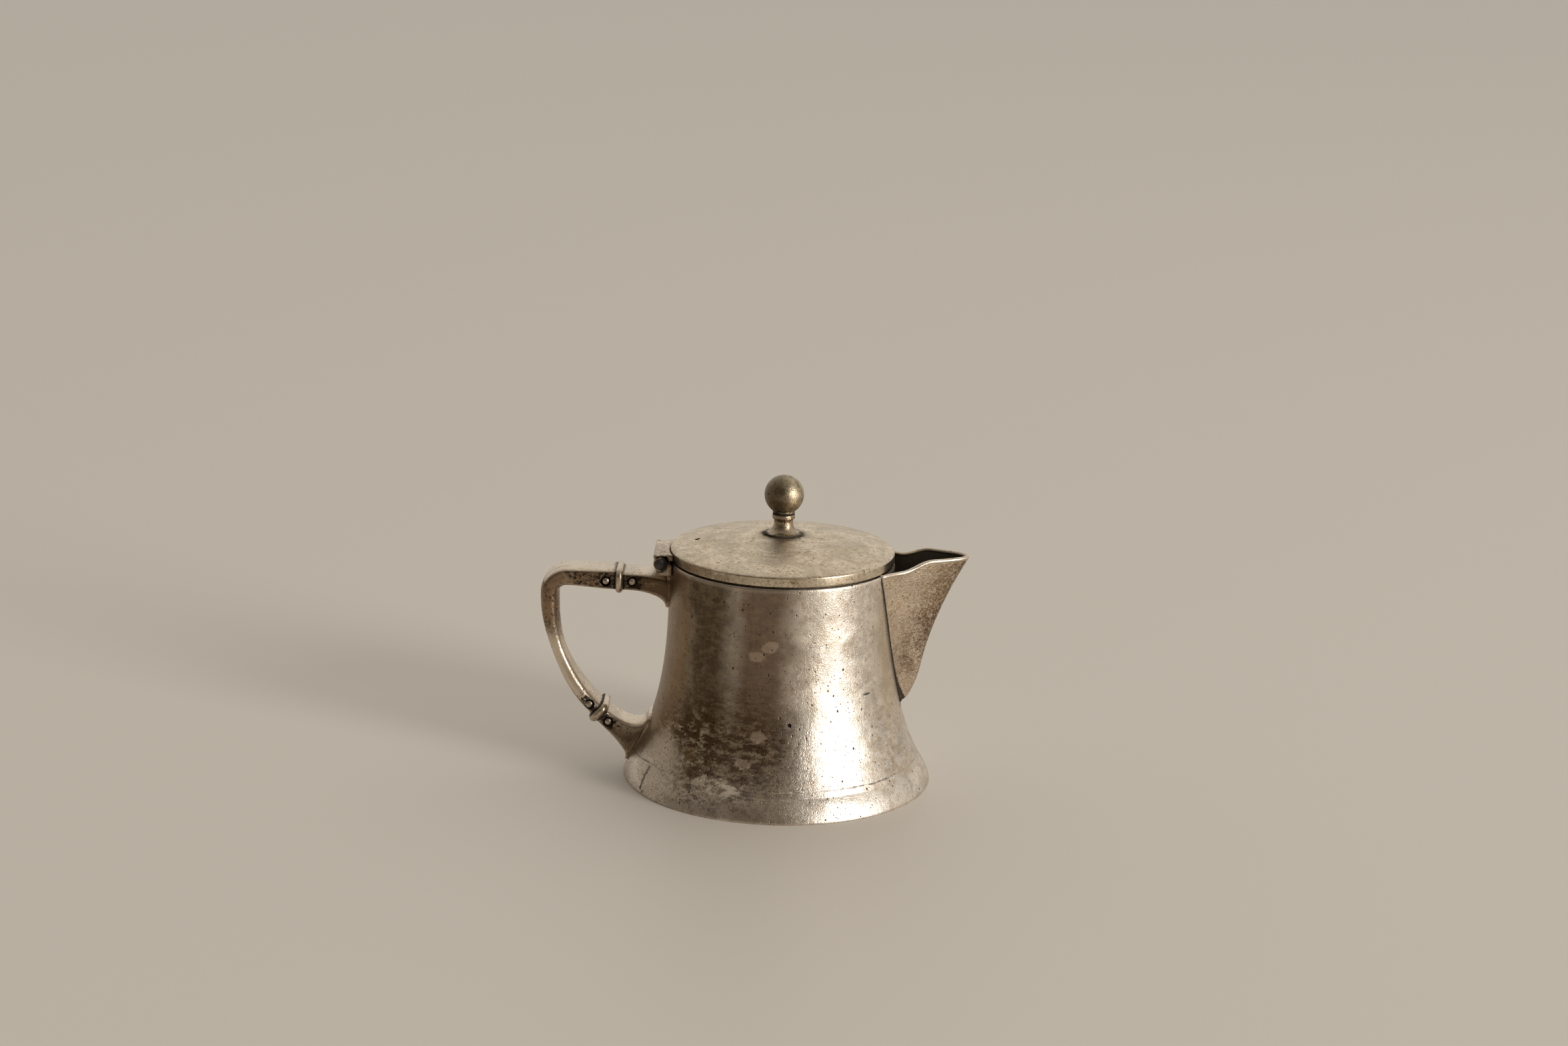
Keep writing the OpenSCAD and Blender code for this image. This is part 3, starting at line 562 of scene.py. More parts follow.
side = [(foot_side(z), z) for z in (foot_h - (foot_h - foot_edge) * k / 16 for k in range(17))]
edge = rounded([side[-1], (foot_r, 0.0), (foot_r - foot_wall, 0.0),
                (foot_side(0.003) - foot_wall, 0.003)], 0.0006, 6)
under = rounded([edge[-1], (foot_side(ledge_z) - foot_wall, ledge_z), (ledge_r, ledge_z),
                 (ledge_r, foot_h)], 0.0005)
foot = revolved("pot_foot", side + edge[1:] + under[1:], pot_silver, 256)
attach(foot, "pot")
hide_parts("foot_ring")


def plate_marks(g, mm, look):
    radius = turned(g, mm)[2]
    look.height += (radius * 5.5 + (look.broad - 0.5) * 3).sin() * 0.012
    look.rough += 0.1


recoat(aged_metal(
    "base plate tarnish", (0.42, 0.37, 0.30), (0.16, 0.12, 0.085),
    stains=0.8, roughness=0.42, pits=0.2, marks=plate_marks,
), "base_plate")


# ---- Spout ----
# A V of the same sheet, folded to a soft keel and soldered over the strainer holes.
# Its edge is thickened and rolled, and dark solder fills the seam beside it; solder and seam are painted
# darker as the seam's shade.

spout_reach, lip_rise, spout_t, keel_out, nose_out = 0.0215, 0.0026, 0.001, 0.0044, 0.0015
nose_half_w, nose_slope, keel_power = 0.0014, 0.85, 1.8
lip_start, lip_run, nose_round, chin_blend = 0.0017, 0.0088, 0.0016, 0.0055
lip_z, tip_x = rim_z + lip_rise, rim_r + spout_reach


def keel_x(z):
    root_x = wall_r(root_z)
    t = max(0.0, z - root_z) / (lip_z - root_z)
    keel = root_x + keel_out + (tip_x - root_x - keel_out) * t ** keel_power
    nose = root_x + nose_out + nose_slope * (z - root_z)
    meet = max(0.0, 1 - abs(keel - nose) / chin_blend)
    return min(keel, nose) - meet ** 2 * chin_blend / 4


def spout_point(s, z, inset=0.0):
    """A point of the sheet: s is 0 on the keel, and -1 or 1 on the seams. The inside is inset."""
    t = max(0.0, z - root_z) / (rim_z - root_z)
    blunt = math.sqrt(max(0.0, 1 - (1 - min(1.0, (z - root_z) / nose_round)) ** 2))
    half_w = max(nose_half_w, spout_half_w * t ** seam_power - inset) * (0.15 + 0.85 * blunt)
    seam_x = math.sqrt(wall_r(z) ** 2 - half_w ** 2)
    keel = seam_x + (keel_x(z) - inset - seam_x) * (0.05 + 0.95 * blunt)
    y = half_w * (0.6 * abs(s) + 0.4 * abs(s) ** 6)
    return keel - (keel - seam_x) * s * s, math.copysign(y, s), z


def lip_height(x):
    t = min(1.0, max(0.0, (x - rim_r - lip_start) / lip_run))
    return rim_z + lip_rise * t * t * (3 - 2 * t)


def spout_top(s, inset):
    z = lip_z
    for _ in range(12):
        z = lip_height(spout_point(s, z, inset)[0])
    return z


def spout_marks(g, mm, look):
    x, y, z = g.parts(mm)
    grit = g.noise(g.stretched(mm, (1.0, 1.0, 0.7)), 2.2, 3, 0.4)
    lump = g.noise(mm, 0.9, 4, 0.8, 0.6)
    crust = g.noise(mm, 1.3, 7, 0.6, 0.72)
    along_lip = (x - rim_r * 1000 - lip_start * 1000) / (lip_run * 1000)
    depth = z - along_lip.soft(0, 1) * (lip_rise * 1000) - rim_z * 1000
    # The rolled rim: smoother bumps, and a colour painted lighter as a highlight
    rim = depth.soft(-1.2, -0.4)
    gold = grit.soft(0.50, 0.58) * z.soft(46, 60) * (0.25 + 0.75 * look.cloud.soft(0.44, 0.60))
    # Darker towards the keel: brown stain, and painted shade where the sheet turns from the light
    keelward = (y.size() - 1.5 + (lump - 0.5) * 8).soft(7.0, 0.0) * z.soft(28, 38)
    burnt = crust.soft(0.50, 0.56) * (keelward * 0.9 + 0.10)
    worn = crust.soft(0.46, 0.42) * look.broad.soft(0.44, 0.56)
    pocks = grit.soft(0.56, 0.66) * lump.soft(0.46, 0.58) * 0.8 * (1 - rim)
    facing_x, facing_y, _ = g.parts(g.add("ShaderNodeNewGeometry")["True Normal"])
    inside = (facing_x * 0.4 + facing_y * y * 0.2).soft(0.05, -0.05) * depth.soft(0.1, -0.45)
    # Painted shade in the crevice between the spout and the wall, widest at the root
    climb = ((z - root_z * 1000) / (rim_z - root_z) * 0.001).within(0.0, 1.0)
    round_r = wall_line(z)
    gap = x - (round_r * round_r - y * y).op("SQRT")
    reach = 0.05 + 1.9 * (1 - climb) ** 7
    crevice_shade = (gap + (grit - 0.5) * 0.9 - reach).soft(0.3, -0.2) * (1 - rim)
    rough_skin = ((grit - 0.5) * 0.07 + (lump - 0.5) * 0.09) * (1 - rim)
    look.height = look.height * (1 - rim * 0.6) + rough_skin
    look.shift = keelward * 0.10 + (lump - 0.5) * 0.25
    look.dirt_and_shade = g.most(crevice_shade, inside) * 0.92
    look.tints = [
        # Stain and painted shade towards the keel
        (keelward * look.cloud.soft(0.40, 0.56) * 0.7, (0.17, 0.105, 0.063)),
        (worn * 0.65, (0.74, 0.65, 0.53)),
        (burnt * 0.8, (0.105, 0.066, 0.04)),
        (gold * 0.75, (0.60, 0.45, 0.24)),
        (pocks, (0.085, 0.055, 0.035)),
        # Painted highlight along the rim
        (rim * 0.7, (0.74, 0.66, 0.55)),
        # Painted shade in the crevice
        (crevice_shade * 0.95, (0.022, 0.017, 0.012)),
        (inside * 0.95, (0.035, 0.030, 0.022)),
    ]


spout_silver = aged_metal(
    "spout grainy plate", (0.76, 0.63, 0.485), (0.36, 0.245, 0.16), (0.04, 0.028, 0.02),
    stains=0.5, roughness=0.35, pits=0.25, grain=1.5, marks=spout_marks,
)
bm = bmesh.new()
columns, rows, edge_round = 56, 60, 0.00036
skins = []
for inset, low in ((0.0, root_z), (spout_t, root_z + 0.001)):
    skin = []
    for i in range(columns + 1):
        s = -1 + 2 * i / columns
        top = spout_top(s, inset)
        skin.append([bm.verts.new(spout_point(s, low + (top - low) * (j / rows) ** 1.3, inset))
                     for j in range(rows + 1)])
    skins.append(skin)
outside, inside = skins
for skin in skins:
    for left, right in zip(skin, skin[1:]):
        for j in range(rows):
            bm.faces.new((left[j], right[j], right[j + 1], left[j + 1]))
for i in range(columns):
    for j in (0, rows):
        bm.faces.new((outside[i][j], outside[i + 1][j], inside[i + 1][j], inside[i][j]))
for i in (0, columns):
    for j in range(rows):
        bm.faces.new((outside[i][j], outside[i][j + 1], inside[i][j + 1], inside[i][j]))
bmesh.ops.recalc_face_normals(bm, faces=bm.faces)
rim_edges = [e for e in bm.edges
             if e.calc_face_angle(0) > 0.7 and min(v.co.z for v in e.verts) > rim_z - 0.002]
bmesh.ops.bevel(bm, geom=rim_edges, offset=edge_round, segments=4, profile=0.5, affect="EDGES")
spout = smoothed(piece_of("pot_spout", bm, spout_silver), 60)
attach(spout, "pot")
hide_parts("spout")


def line_mesh(name, points, **values):
    """Points joined in a row, each with its own values for the nodes to read."""
    mesh = bpy.data.meshes.new(name)
    mesh.from_pydata([tuple(p) for p in points], [(k, k + 1) for k in range(len(points) - 1)], [])
    for label, numbers in values.items():
        mesh.attributes.new(label, "FLOAT", "POINT").data.foreach_set("value", numbers)
    return mesh


def reading(g, label):
    return g.add("GeometryNodeInputNamedAttribute", {"Name": label}, data_type="FLOAT")


def bead_tree(g, given):
    path = g.add("GeometryNodeMeshToCurve", {"Mesh": given["Geometry"]})
    lumps = g.noise(g.add("GeometryNodeInputPosition"), 260.0, 2)
    wire = g.add("GeometryNodeCurvePrimitiveCircle", {"Resolution": 12, "Radius": given["Radius"]})
    bead = g.add("GeometryNodeCurveToMesh", {
        "Curve": path, "Profile Curve": wire, "Scale": reading(g, "swell") * (0.85 + lumps * 0.3),
        "Fill Caps": True,
    })
    return finished(g, bead, given["Metal"], 1.2)


# The middle of the rolled lip, from inside the wall at one seam round the tip to the other
lip_inset, lip_drop = 0.00062, 0.0002
lip_points = [spout_point(s, spout_top(s, lip_inset) - lip_drop, lip_inset)
              for s in (-1 + 2 * k / 96 for k in range(97))]
ends = [tuple(c * 0.985 for c in p[:2]) + p[2:] for p in (lip_points[0], lip_points[-1])]
lip_points = [ends[0]] + lip_points + [ends[1]]
lip = grown("spout_lip", {"Radius": 0.00060, "Metal": spout_silver}, bead_tree,
            line_mesh("lip", lip_points, swell=[1.0] * len(lip_points)))
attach(lip, "pot")

# The solder runs down one seam and up the other, thickest at the root, near black so that it also stands
# in for the seam's shade
heights = [root_z + (rim_z - root_z - 0.0004) * (k / 60) ** 1.5 for k in range(61)]
seam_points = ([spout_point(-1, z) for z in reversed(heights)]
               + [spout_point(1, z) for z in heights[1:]])
seam_swell = [(0.75 + 2.9 * (1 - (z - root_z) / (rim_z - root_z)) ** 6)
              * min(1.0, 0.45 + (z - root_z) / 0.002) for x, y, z in seam_points]
# Near-black solder that also stands in for the seam's shade
solder = aged_metal(
    "dark solder and painted seam shade", (0.10, 0.08, 0.06), (0.04, 0.03, 0.022), (0.02, 0.015, 0.012),
    stains=0.6, roughness=0.6, pits=0.2,
)
seam = grown("spout_solder", {"Radius": 0.00028, "Metal": solder}, bead_tree,
             line_mesh("seam", seam_points, swell=seam_swell))
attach(seam, "pot")


# ---- Handle ----
# Two cast sockets are soldered to the wall. A cast C grip joins them through two collars.
# Each collar's spigots run into grip and socket, and rivets with domed heads hold them.

upper_axis_z, upper_x = rim_z - 0.0066, -(rim_r + 0.0143)
grip_x, arc_r, sweep = -(rim_r + 0.0345), 0.046, math.radians(47.3)
bend_r, grip_drop, grip_step, grip_rise = 0.0053, 0.0016, 0.00035, 0.00045
arc_x = grip_x + arc_r
arc_z = upper_axis_z + grip_step + grip_rise - bend_r - grip_drop
lower_x, lower_z = arc_x - arc_r * math.cos(sweep), arc_z - arc_r * math.sin(sweep)
lower_tilt = math.pi / 2 - sweep
lower_way = Vector((math.cos(lower_tilt), 0, -math.sin(lower_tilt)))
upper_way = Vector((1, 0, 0))
collar_t, pin_offset = 0.002, 0.0038
collars = [(Vector((upper_x, 0, upper_axis_z)), upper_way), (Vector((lower_x, 0, lower_z)), lower_way)]
pin_places = [middle + way * (side * pin_offset) for middle, way in collars for side in (-1, 1)]
# Half sizes of the bar: its width, and its height in the sockets, the arm, the bend and the bow
bar_w, upper_h, arm_h, bend_h, lower_h, bow_h = 0.0055, 0.0028, 0.003, 0.00265, 0.0024, 0.002
sink_r, sink_depth, sink_y = 0.0015, 0.002, 0.006


def beyond(x, z, place):
    """How far a point is beyond a place along x and z, in millimetres."""
    return x - place.x * 1000, z - place.z * 1000


def handle_marks(g, mm, look):
    x, y, z = g.parts(mm)
    top = g.parts(g.add("ShaderNodeNewGeometry")["Normal"])[2]
    cloud, fleck = look.cloud, look.fleck
    ragged = (fleck - 0.5) * 1.6 + (cloud - 0.5) * 1.6
    # Painted light and shade by facing: faces that look up are painted lighter and the sides browner
    face = top.soft(0.35, 0.75)
    side = top.size().soft(0.55, 0.25)
    upper = z.soft(30, 54)
    # Black in the sinks and beside the collars, with grime for some way about them
    sink = grime = 0.0
    for place in pin_places:
        away = length(*beyond(x, z, place))
        sink = g.most(away.soft(1.65, 1.45), sink)
        grime = g.most((away + ragged * 0.5).soft(5.5, 1.6), grime)
    for middle, way in collars:
        dx, dz = beyond(x, z, middle)
        gap = (dx * way.x + dz * way.z).size()
        local = (dx * dx + dz * dz).soft(90, 60)
        close = (gap + ragged * 0.12).soft(1.75, 1.35) * local
        sink = g.most(close * (1 - face * 0.5), sink)
        grime = g.most((gap + ragged * 0.4).soft(3.0, 1.3) * local * 0.8, grime)
    flecked = g.noise(mm, 1.05, 8, 0.4, 0.74)
    crumbs = (((grime - 0.5) * 0.16 + flecked).soft(0.515, 0.555) * (0.15 + 0.85 * side)
              * grime.soft(0.05, 0.3))
    armward = ((x + 57).size() * -0.012 + cloud).soft(0.36, 0.48)
    blotch = flecked.soft(0.505, 0.535) * side * armward * upper
    speckle = look.pebble.soft(0.56, 0.62) * cloud.soft(0.40, 0.55)
    # Painted shade low on the sides, and painted light on the sides of the lower arc
    shaded = z.soft(17, 11) * side
    lit = z.soft(47, 36) * z.soft(16, 22) * side
    # Painted shade in patches on the upper sides towards the wall
    shade_near_wall = x.soft(-49, -39) * upper * side * cloud.soft(0.36, 0.50)
    # A casting split along the outside of the bend
    from_x, from_z = x - 1000 * (grip_x + bend_r), z - 1000 * (upper_axis_z - bend_r)
    split = ((y + 2.4 + (cloud - 0.5) * 4).size().soft(0.40, 0.12)
             * length(from_x, from_z).soft(7.1, 7.5) * from_x.soft(1.5, -1.0) * from_z.soft(-1.0, 1.0))
    # More film on the sides and less on faces that look up: painted shade and light
    look.shift = side * (0.06 + 0.16 * upper) - face * 0.2 + (cloud - 0.5) * 0.2
    look.pit_share += side * 0.3
    look.height += (fleck - 0.5) * 0.05
    look.dirt_and_shade = g.most(sink, g.most(crumbs, blotch) * 0.75)
    look.tints = [
        # Faces that look up: painted light
        (face * 0.55, (0.80, 0.70, 0.56)),
        (speckle * 0.55, (0.15, 0.098, 0.06)),
        (shaded * 0.6, (0.12, 0.082, 0.05)),
        (shade_near_wall * 0.8, (0.10, 0.066, 0.038)),
        (lit * 0.85, (0.82, 0.71, 0.57)),
        (split * 0.9, (0.03, 0.022, 0.015)),
        (blotch, (0.018, 0.013, 0.010)),
        (crumbs * 0.95, (0.022, 0.015, 0.010)),
        (sink * 0.96, (0.014, 0.011, 0.009)),
    ]


handle_silver = aged_metal(
    "handle worn plate", (0.68, 0.575, 0.45), (0.30, 0.205, 0.13),
    stains=0.55, roughness=0.31, pits=0.4, marks=handle_marks,
)


def rounded_square(turn, squareness):
    """Across and up, for a point of a square with bulging sides, at an angle round it."""
    c, s = math.cos(turn), math.sin(turn)
    power = 2 / squareness
    return math.copysign(abs(c) ** power, c), math.copysign(abs(s) ** power, s)


def on_wall(y, z, out):
    """The point of the pot's handle side at this width and height, a distance out from it."""
    radius = (wall_r(z) if z > foot_h else foot_side(z)) + out
    return Vector((-math.sqrt(radius ** 2 - y ** 2), y, z))


def drill(piece, place, radius, depth):
    """Cuts a round hole, centred and turned by the matrix."""
    bm = bmesh.new()
    bmesh.ops.create_cone(bm, cap_ends=True, segments=40, radius1=radius, radius2=radius,
                          depth=depth, matrix=place)
    punch = piece_of("punch", bm)
    hole = piece.modifiers.new("drill", "BOOLEAN")
    hole.operation = "DIFFERENCE"
    hole.solver = "EXACT"
    hole.object = punch
    with_modifiers(piece)
    bpy.data.objects.remove(punch)


def socket_loft(name, middle, way, half_h, reach, top_z, low_z, pad_w, toe_w, flare):
    """A bar from the collar that swells on to a thin pad on the wall."""
    up = Vector((-way.z, 0, way.x))
    start = middle + way * (collar_t * 0.4)
    points, steps, pad_t = 64, 44, 0.0009
    turns = [2 * math.pi * (j + 0.5) / points for j in range(points)]

    def pad(turn, scale, out):
        across, rise = rounded_square(turn, 3.0)
        z = (top_z + low_z) / 2 + (top_z - low_z) / 2 * scale * rise
        share = (z - low_z) / (top_z - low_z)
        return on_wall((toe_w + (pad_w - toe_w) * share) * scale * across, z, out)

    def bar(turn, t):
        across, rise = rounded_square(turn, 5.5 - 1.5 * t)
        return start + way * (reach * t) + up * (half_h * rise) + Vector((0, bar_w * across, 0))

    rings = [[bar(turn, k / steps).lerp(pad(turn, 0.90, pad_t), (k / steps) ** flare)
              for turn in turns] for k in range(steps + 1)]
    rings += [[pad(turn, scale, out) for turn in turns]
              for scale, out in ((0.97, pad_t * 0.95), (1.0, pad_t * 0.6), (1.0, -0.0003))]
    piece = lofted(name, rings, handle_silver, capped=True)
    # The sinks round the rivet's two heads
    for side in (-1, 1):
        place = middle + way * pin_offset + Vector((0, side * sink_y, 0))
        drill(piece, Matrix.Translation(place) @ Matrix.Rotation(math.pi / 2, 4, "X"),
              sink_r, sink_depth)
    return smoothed(piece, 40)


for node, label, (middle, way), sizes in (
    ("handle_upper_socket", "upper_socket", collars[0],
     dict(half_h=upper_h, reach=0.0115, top_z=upper_axis_z + 0.0028, low_z=0.0499,
          pad_w=0.0066, toe_w=0.005, flare=2.6)),
    ("handle_lower_socket", "lower_socket", collars[1],
     dict(half_h=lower_h, reach=0.0125, top_z=0.0184, low_z=0.0029,
          pad_w=0.0072, toe_w=0.0018, flare=2.3)),
):
    socket = socket_loft(label, middle, way, **sizes)
    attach(socket, "pot")
    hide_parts(node)


def grip_path():
    """Points along the grip's middle line, each with its half width and half thickness."""
    arm_x, arm_z = upper_x - collar_t / 2, upper_axis_z + grip_step
    bend_x, bend_z = grip_x + bend_r, arm_z + grip_rise - bend_r
    made = []
    for t in (k / 12 for k in range(13)):
        ease = t * t * (3 - 2 * t)
        made.append((arm_x + (bend_x - arm_x) * t, arm_z + grip_rise * ease,
                     bar_w, arm_h + (bend_h - arm_h) * ease))
    for a in (math.pi / 2 * k / 24 for k in range(1, 25)):
        made.append((bend_x - bend_r * math.sin(a), bend_z + bend_r * math.cos(a), bar_w, bend_h))
    pin_sweep = (pin_offset + sink_r) / arc_r
    for t in (k / 80 for k in range(81)):
        a = sweep * t
        swell = math.sin(math.pi * min(1.0, a / (sweep - pin_sweep))) ** 2
        plain = bend_h + (lower_h - bend_h) * t
        made.append((arc_x - arc_r * math.cos(a), arc_z - arc_r * math.sin(a),
                     bar_w - 0.0014 * swell, plain + (bow_h - plain) * swell))
    x, z, half_w, half_h = made.pop()
    end = Vector((x, 0, z)) - lower_way * (collar_t / 2)
    kept = [p for p in made if (Vector((p[0], 0, p[1])) - end).dot(lower_way) < -0.0002]
    return kept + [(end.x, end.z, half_w, half_h)]


path = grip_path()
arc_start = next(k for k, p in enumerate(path) if p[1] < arc_z)
grip_line = line_mesh(
    "grip line", [(x, 0, z) for x, z, w, h in path],
    half_height=[h for x, z, w, h in path], half_width=[w for x, z, w, h in path],
    squareness=[2.7 + 4.3 * max(0.0, 1 - k / arc_start) for k in range(len(path))],
)


def grip_tree(g, given):
    curve = g.add("GeometryNodeMeshToCurve", {"Mesh": given["Geometry"]})
    flat, across, up = grid(g, given["Rings"], given["Points"])
    ring = (across + 0.5) * (given["Rings"] - 1)
    last = given["Rings"] - 3
    along = ((ring - 1) / last).within(0, 1)
    body = (ring > 0.5) * ((last + 1.5) > ring)
    turn = (up + 0.5) * (2 * math.pi)

    def sampled(label):
        return g.add("GeometryNodeSampleCurve", {
            "Curves": curve, "Value": reading(g, label), "Factor": along,
        }, mode="FACTOR")

    # A bar with crowned faces: squarer along the arm than round the bow
    power = 2 / sampled("squareness")["Value"]
    wide, tall = (wave.op("SIGN") * wave.size() ** power for wave in (turn.cos(), turn.sin()))
    spot = sampled("half_height")
    out = g.vector("CROSS_PRODUCT", spot["Tangent"], (0.0, 1.0, 0.0))
    rise = g.add("ShaderNodeVectorMath", {0: out, "Scale": spot["Value"] * tall * body},
                 operation="SCALE")
    aside = g.point(y=sampled("half_width")["Value"] * wide * body)
    place = g.vector("ADD", g.vector("ADD", spot["Position"], rise), aside)
    grip = wrapped(g, flat, place)
    for middle, way in collars:
        for side in (-1, 1):
            spot = middle - way * pin_offset + Vector((0, side * sink_y, 0))
            sink = g.add("GeometryNodeTransform", {
                "Geometry": rod(g, 40, given["Recess"], sink_depth),
                "Translation": tuple(spot), "Rotation": (math.pi / 2, 0.0, 0.0),
            })
            grip = cut(g, grip, sink)
    return finished(g, grip, given["Metal"])


grip = grown("handle_c_grip", {
    "Rings": 181, "Points": 65, "Recess": sink_r, "Metal": handle_silver,
}, grip_tree, grip_line)
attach(grip, "pot")
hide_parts("handle_grip")


def collar_marks(g, mm, look):
    x, _, z = g.parts(mm)
    grime = 0.0
    for middle, way in collars:
        dx, dz = beyond(x, z, middle)
        near = (dx * dx + dz * dz).soft(120, 80)
        grime = g.most((dx * way.x + dz * way.z).size().soft(0.95, 1.1) * near, grime)
    look.dirt_and_shade = grime * 0.8
    look.tints = [(grime * 0.9, (0.03, 0.022, 0.016))]


collar_silver = aged_metal(
    "collar polished by hands", (0.70, 0.60, 0.475), (0.32, 0.225, 0.14),
    stains=0.35, roughness=0.28, pits=0.6, grain=0.6, marks=collar_marks,
)


web_size, spigot_r, spigot_length = (0.0105, 0.005, 0.0012), 0.0015, 0.014


def joined(g, *shapes):
    whole = g.add("GeometryNodeJoinGeometry")
    for shape in shapes:
        g.tree.links.new(shape.socket, whole.socket.node.inputs[0])
    return whole


def collar_tree(g, given):
    loop = g.add("GeometryNodeCurvePrimitiveQuadrilateral", {
        "Width": given["Width"], "Height": given["Height"],
    })
    loop = g.add("GeometryNodeFilletCurve", {"Curve": loop, "Radius": given["Corner"], "Count": 10},
                 mode="POLY")
    wire = g.add("GeometryNodeCurvePrimitiveCircle", {"Resolution": 20, "Radius": given["Wire radius"]})
    bead = g.add("GeometryNodeCurveToMesh", {"Curve": loop, "Profile Curve": wire})
    web = g.add("GeometryNodeMeshCube", {"Size": web_size})
    whole = joined(g, bead, web, rod(g, 32, spigot_r, spigot_length))
    # Drawn flat, it is stood across the handle: its width along y and its axis along the way
    for turn in ((0.0, 0.0, math.pi / 2), (0.0, math.pi / 2, 0.0)):
        whole = g.add("GeometryNodeTransform", {"Geometry": whole, "Rotation": turn})
    placed = g.add("GeometryNodeTransform", {
        "Geometry": whole, "Translation": g.point(given["X"], 0.0, given["Z"]),
        "Rotation": g.point(y=given["Tilt"]),
    })
    return finished(g, placed, given["Metal"])


for node, label, half_h, wire_r, proud, middle, tilt in (
    ("handle_upper_collar", "upper_collar", upper_h, 0.00108, 0.00095, collars[0][0], 0.0),
    ("handle_lower_collar", "lower_collar", lower_h, 0.0013, 0.0012, collars[1][0], lower_tilt),
):
    collar = grown(label, {
        "Width": 2 * (bar_w + proud - wire_r), "Height": 2 * (half_h + proud - wire_r),
        "Corner": 0.0017, "Wire radius": wire_r, "X": middle.x, "Z": middle.z, "Tilt": tilt,
        "Metal": collar_silver,
    }, collar_tree)
    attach(collar, "pot")
    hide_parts(node)


def rivet_tree(g, given):
    points = g.add("GeometryNodeMeshToPoints", {"Mesh": given["Geometry"]})
    ball = g.add("GeometryNodeMeshUVSphere", {
        "Segments": 32, "Rings": 24, "Radius": given["Head radius"],
    })
    heads = [g.add("GeometryNodeTransform", {
        "Geometry": ball, "Scale": (1.0, 1.0, 0.62),
        "Translation": g.point(z=given["Length"] * (0.5 * side)),
    }) for side in (-1, 1)]
    rivets = g.add("GeometryNodeInstanceOnPoints", {
        "Points": points, "Rotation": (math.pi / 2, 0.0, 0.0),
        "Instance": joined(g, rod(g, 24, given["Rod radius"], given["Length"]), *heads),
    })
    return finished(g, rivets, given["Metal"], 0.9)


pin_silver = aged_metal(
    "rivet worn plate", (0.62, 0.54, 0.45), (0.24, 0.17, 0.115),
    stains=0.4, roughness=0.3, pits=0.3, grain=0.5,
)
rivets = grown("handle_rivets", {
    "Rod radius": 0.0006, "Length": 0.0102, "Head radius": 0.00108, "Metal": pin_silver,
}, rivet_tree, line_mesh("rivets", pin_places))
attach(rivets, "pot")
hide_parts("handle_pins")


# ---- Hinge ----
# A cast block on top of the upper socket carries two knuckles, and the lid's knuckle turns
# between them on a plain steel pin. The pin's ends are domed over, dark and unplated.

hinge_x, hinge_z, sleeve_r, ear_end = -0.03495, 0.0647, 0.0029, 0.0083
cast_grain = 0.00018


def softened(node, name, passes, material):
    """A cast piece: the node's own shape with its edges rubbed round, but not where it turns."""
    bm = bmesh.new()
    bm.from_mesh(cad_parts[node].data)
    bmesh.ops.remove_doubles(bm, verts=bm.verts, dist=0.000002)
    piece = piece_of(name, bm, material)
    remesh = piece.modifiers.new("cast", "REMESH")
    remesh.mode = "VOXEL"
    remesh.voxel_size = cast_grain
    with_modifiers(piece)
    bm = bmesh.new()
    bm.from_mesh(piece.data)
    rubbed = [v for v in bm.verts
              if math.hypot(v.co.x - hinge_x, v.co.z - hinge_z) > sleeve_r or abs(v.co.y) > ear_end]
    for _ in range(passes):
        bmesh.ops.smooth_vert(bm, verts=rubbed, factor=0.5,
                              use_axis_x=True, use_axis_y=True, use_axis_z=True)
    bm.to_mesh(piece.data)
    bm.free()
    return smoothed(piece)


def hinge_marks(g, mm, look):
    x, y, z = g.parts(mm)
    dx, dz = x - hinge_x * 1000, z - hinge_z * 1000
    away = length(dx, dz)
    crumbs = g.noise(mm, 1.0, 8, 0.4, 0.72)
    crescent = away.soft(1.55, 1.7) * away.soft(2.05, 1.9) * dx.soft(0.5, -0.4)
    end = y.size().soft(8.7, 9.1)
    look.height += (crumbs - 0.5) * 0.12
    # The hollow round the pin's end is painted dark as shade, with a ragged edge, all but a crescent of
    # the knuckle
    look.dirt_and_shade = (away + (crumbs - 0.5) * 3).soft(2.75, 2.05) * (1 - crescent * 0.9) * 0.9
    look.tints = [
        (crumbs.soft(0.52, 0.57) * 0.5, (0.21, 0.145, 0.09)),
        (end * look.cloud.soft(0.34, 0.50) * 0.75, (0.17, 0.115, 0.062)),
        (look.dirt_and_shade, (0.022, 0.016, 0.012)),
    ]


hinge_silver = aged_metal(
    "hinge worn plate", (0.82, 0.71, 0.57), (0.30, 0.21, 0.135),
    stains=0.6, roughness=0.36, pits=0.7, marks=hinge_marks,
)
block = softened("hinge_block", "hinge_block_cast", 36, hinge_silver)
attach(block, "pot")
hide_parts("hinge_block")

recoat(aged_metal(
    "dark steel pin", (0.135, 0.128, 0.125), (0.07, 0.062, 0.057), (0.02, 0.018, 0.016),
    stains=0.5, roughness=0.42, pits=0.3, grain=1.2,
), "hinge_pin", "finial_stud", "finial_nut")


# ---- Lid ----
# A shallow dome of sheet with an upright edge, polished flat by years of wiping.
# A small steam vent is drilled near the hinge, and a ring soldered inside keeps it on the pot.

lid_r, lid_z, lid_edge_h, lid_rise, lid_t = 0.0324, 0.0654, 0.003, 0.0043, 0.0009
lid_edge_z, lid_top_z = lid_z + lid_edge_h, lid_z + lid_edge_h + lid_rise
dome_r = (lid_r ** 2 + lid_rise ** 2) / (2 * lid_rise)
vent_x, vent_r, hole_r, lid_crease = -0.0247, 0.00065, 0.00125, 50


def dome_z(radius, inset=0.0):
    return lid_top_z - dome_r + math.sqrt((dome_r - inset) ** 2 - radius ** 2)


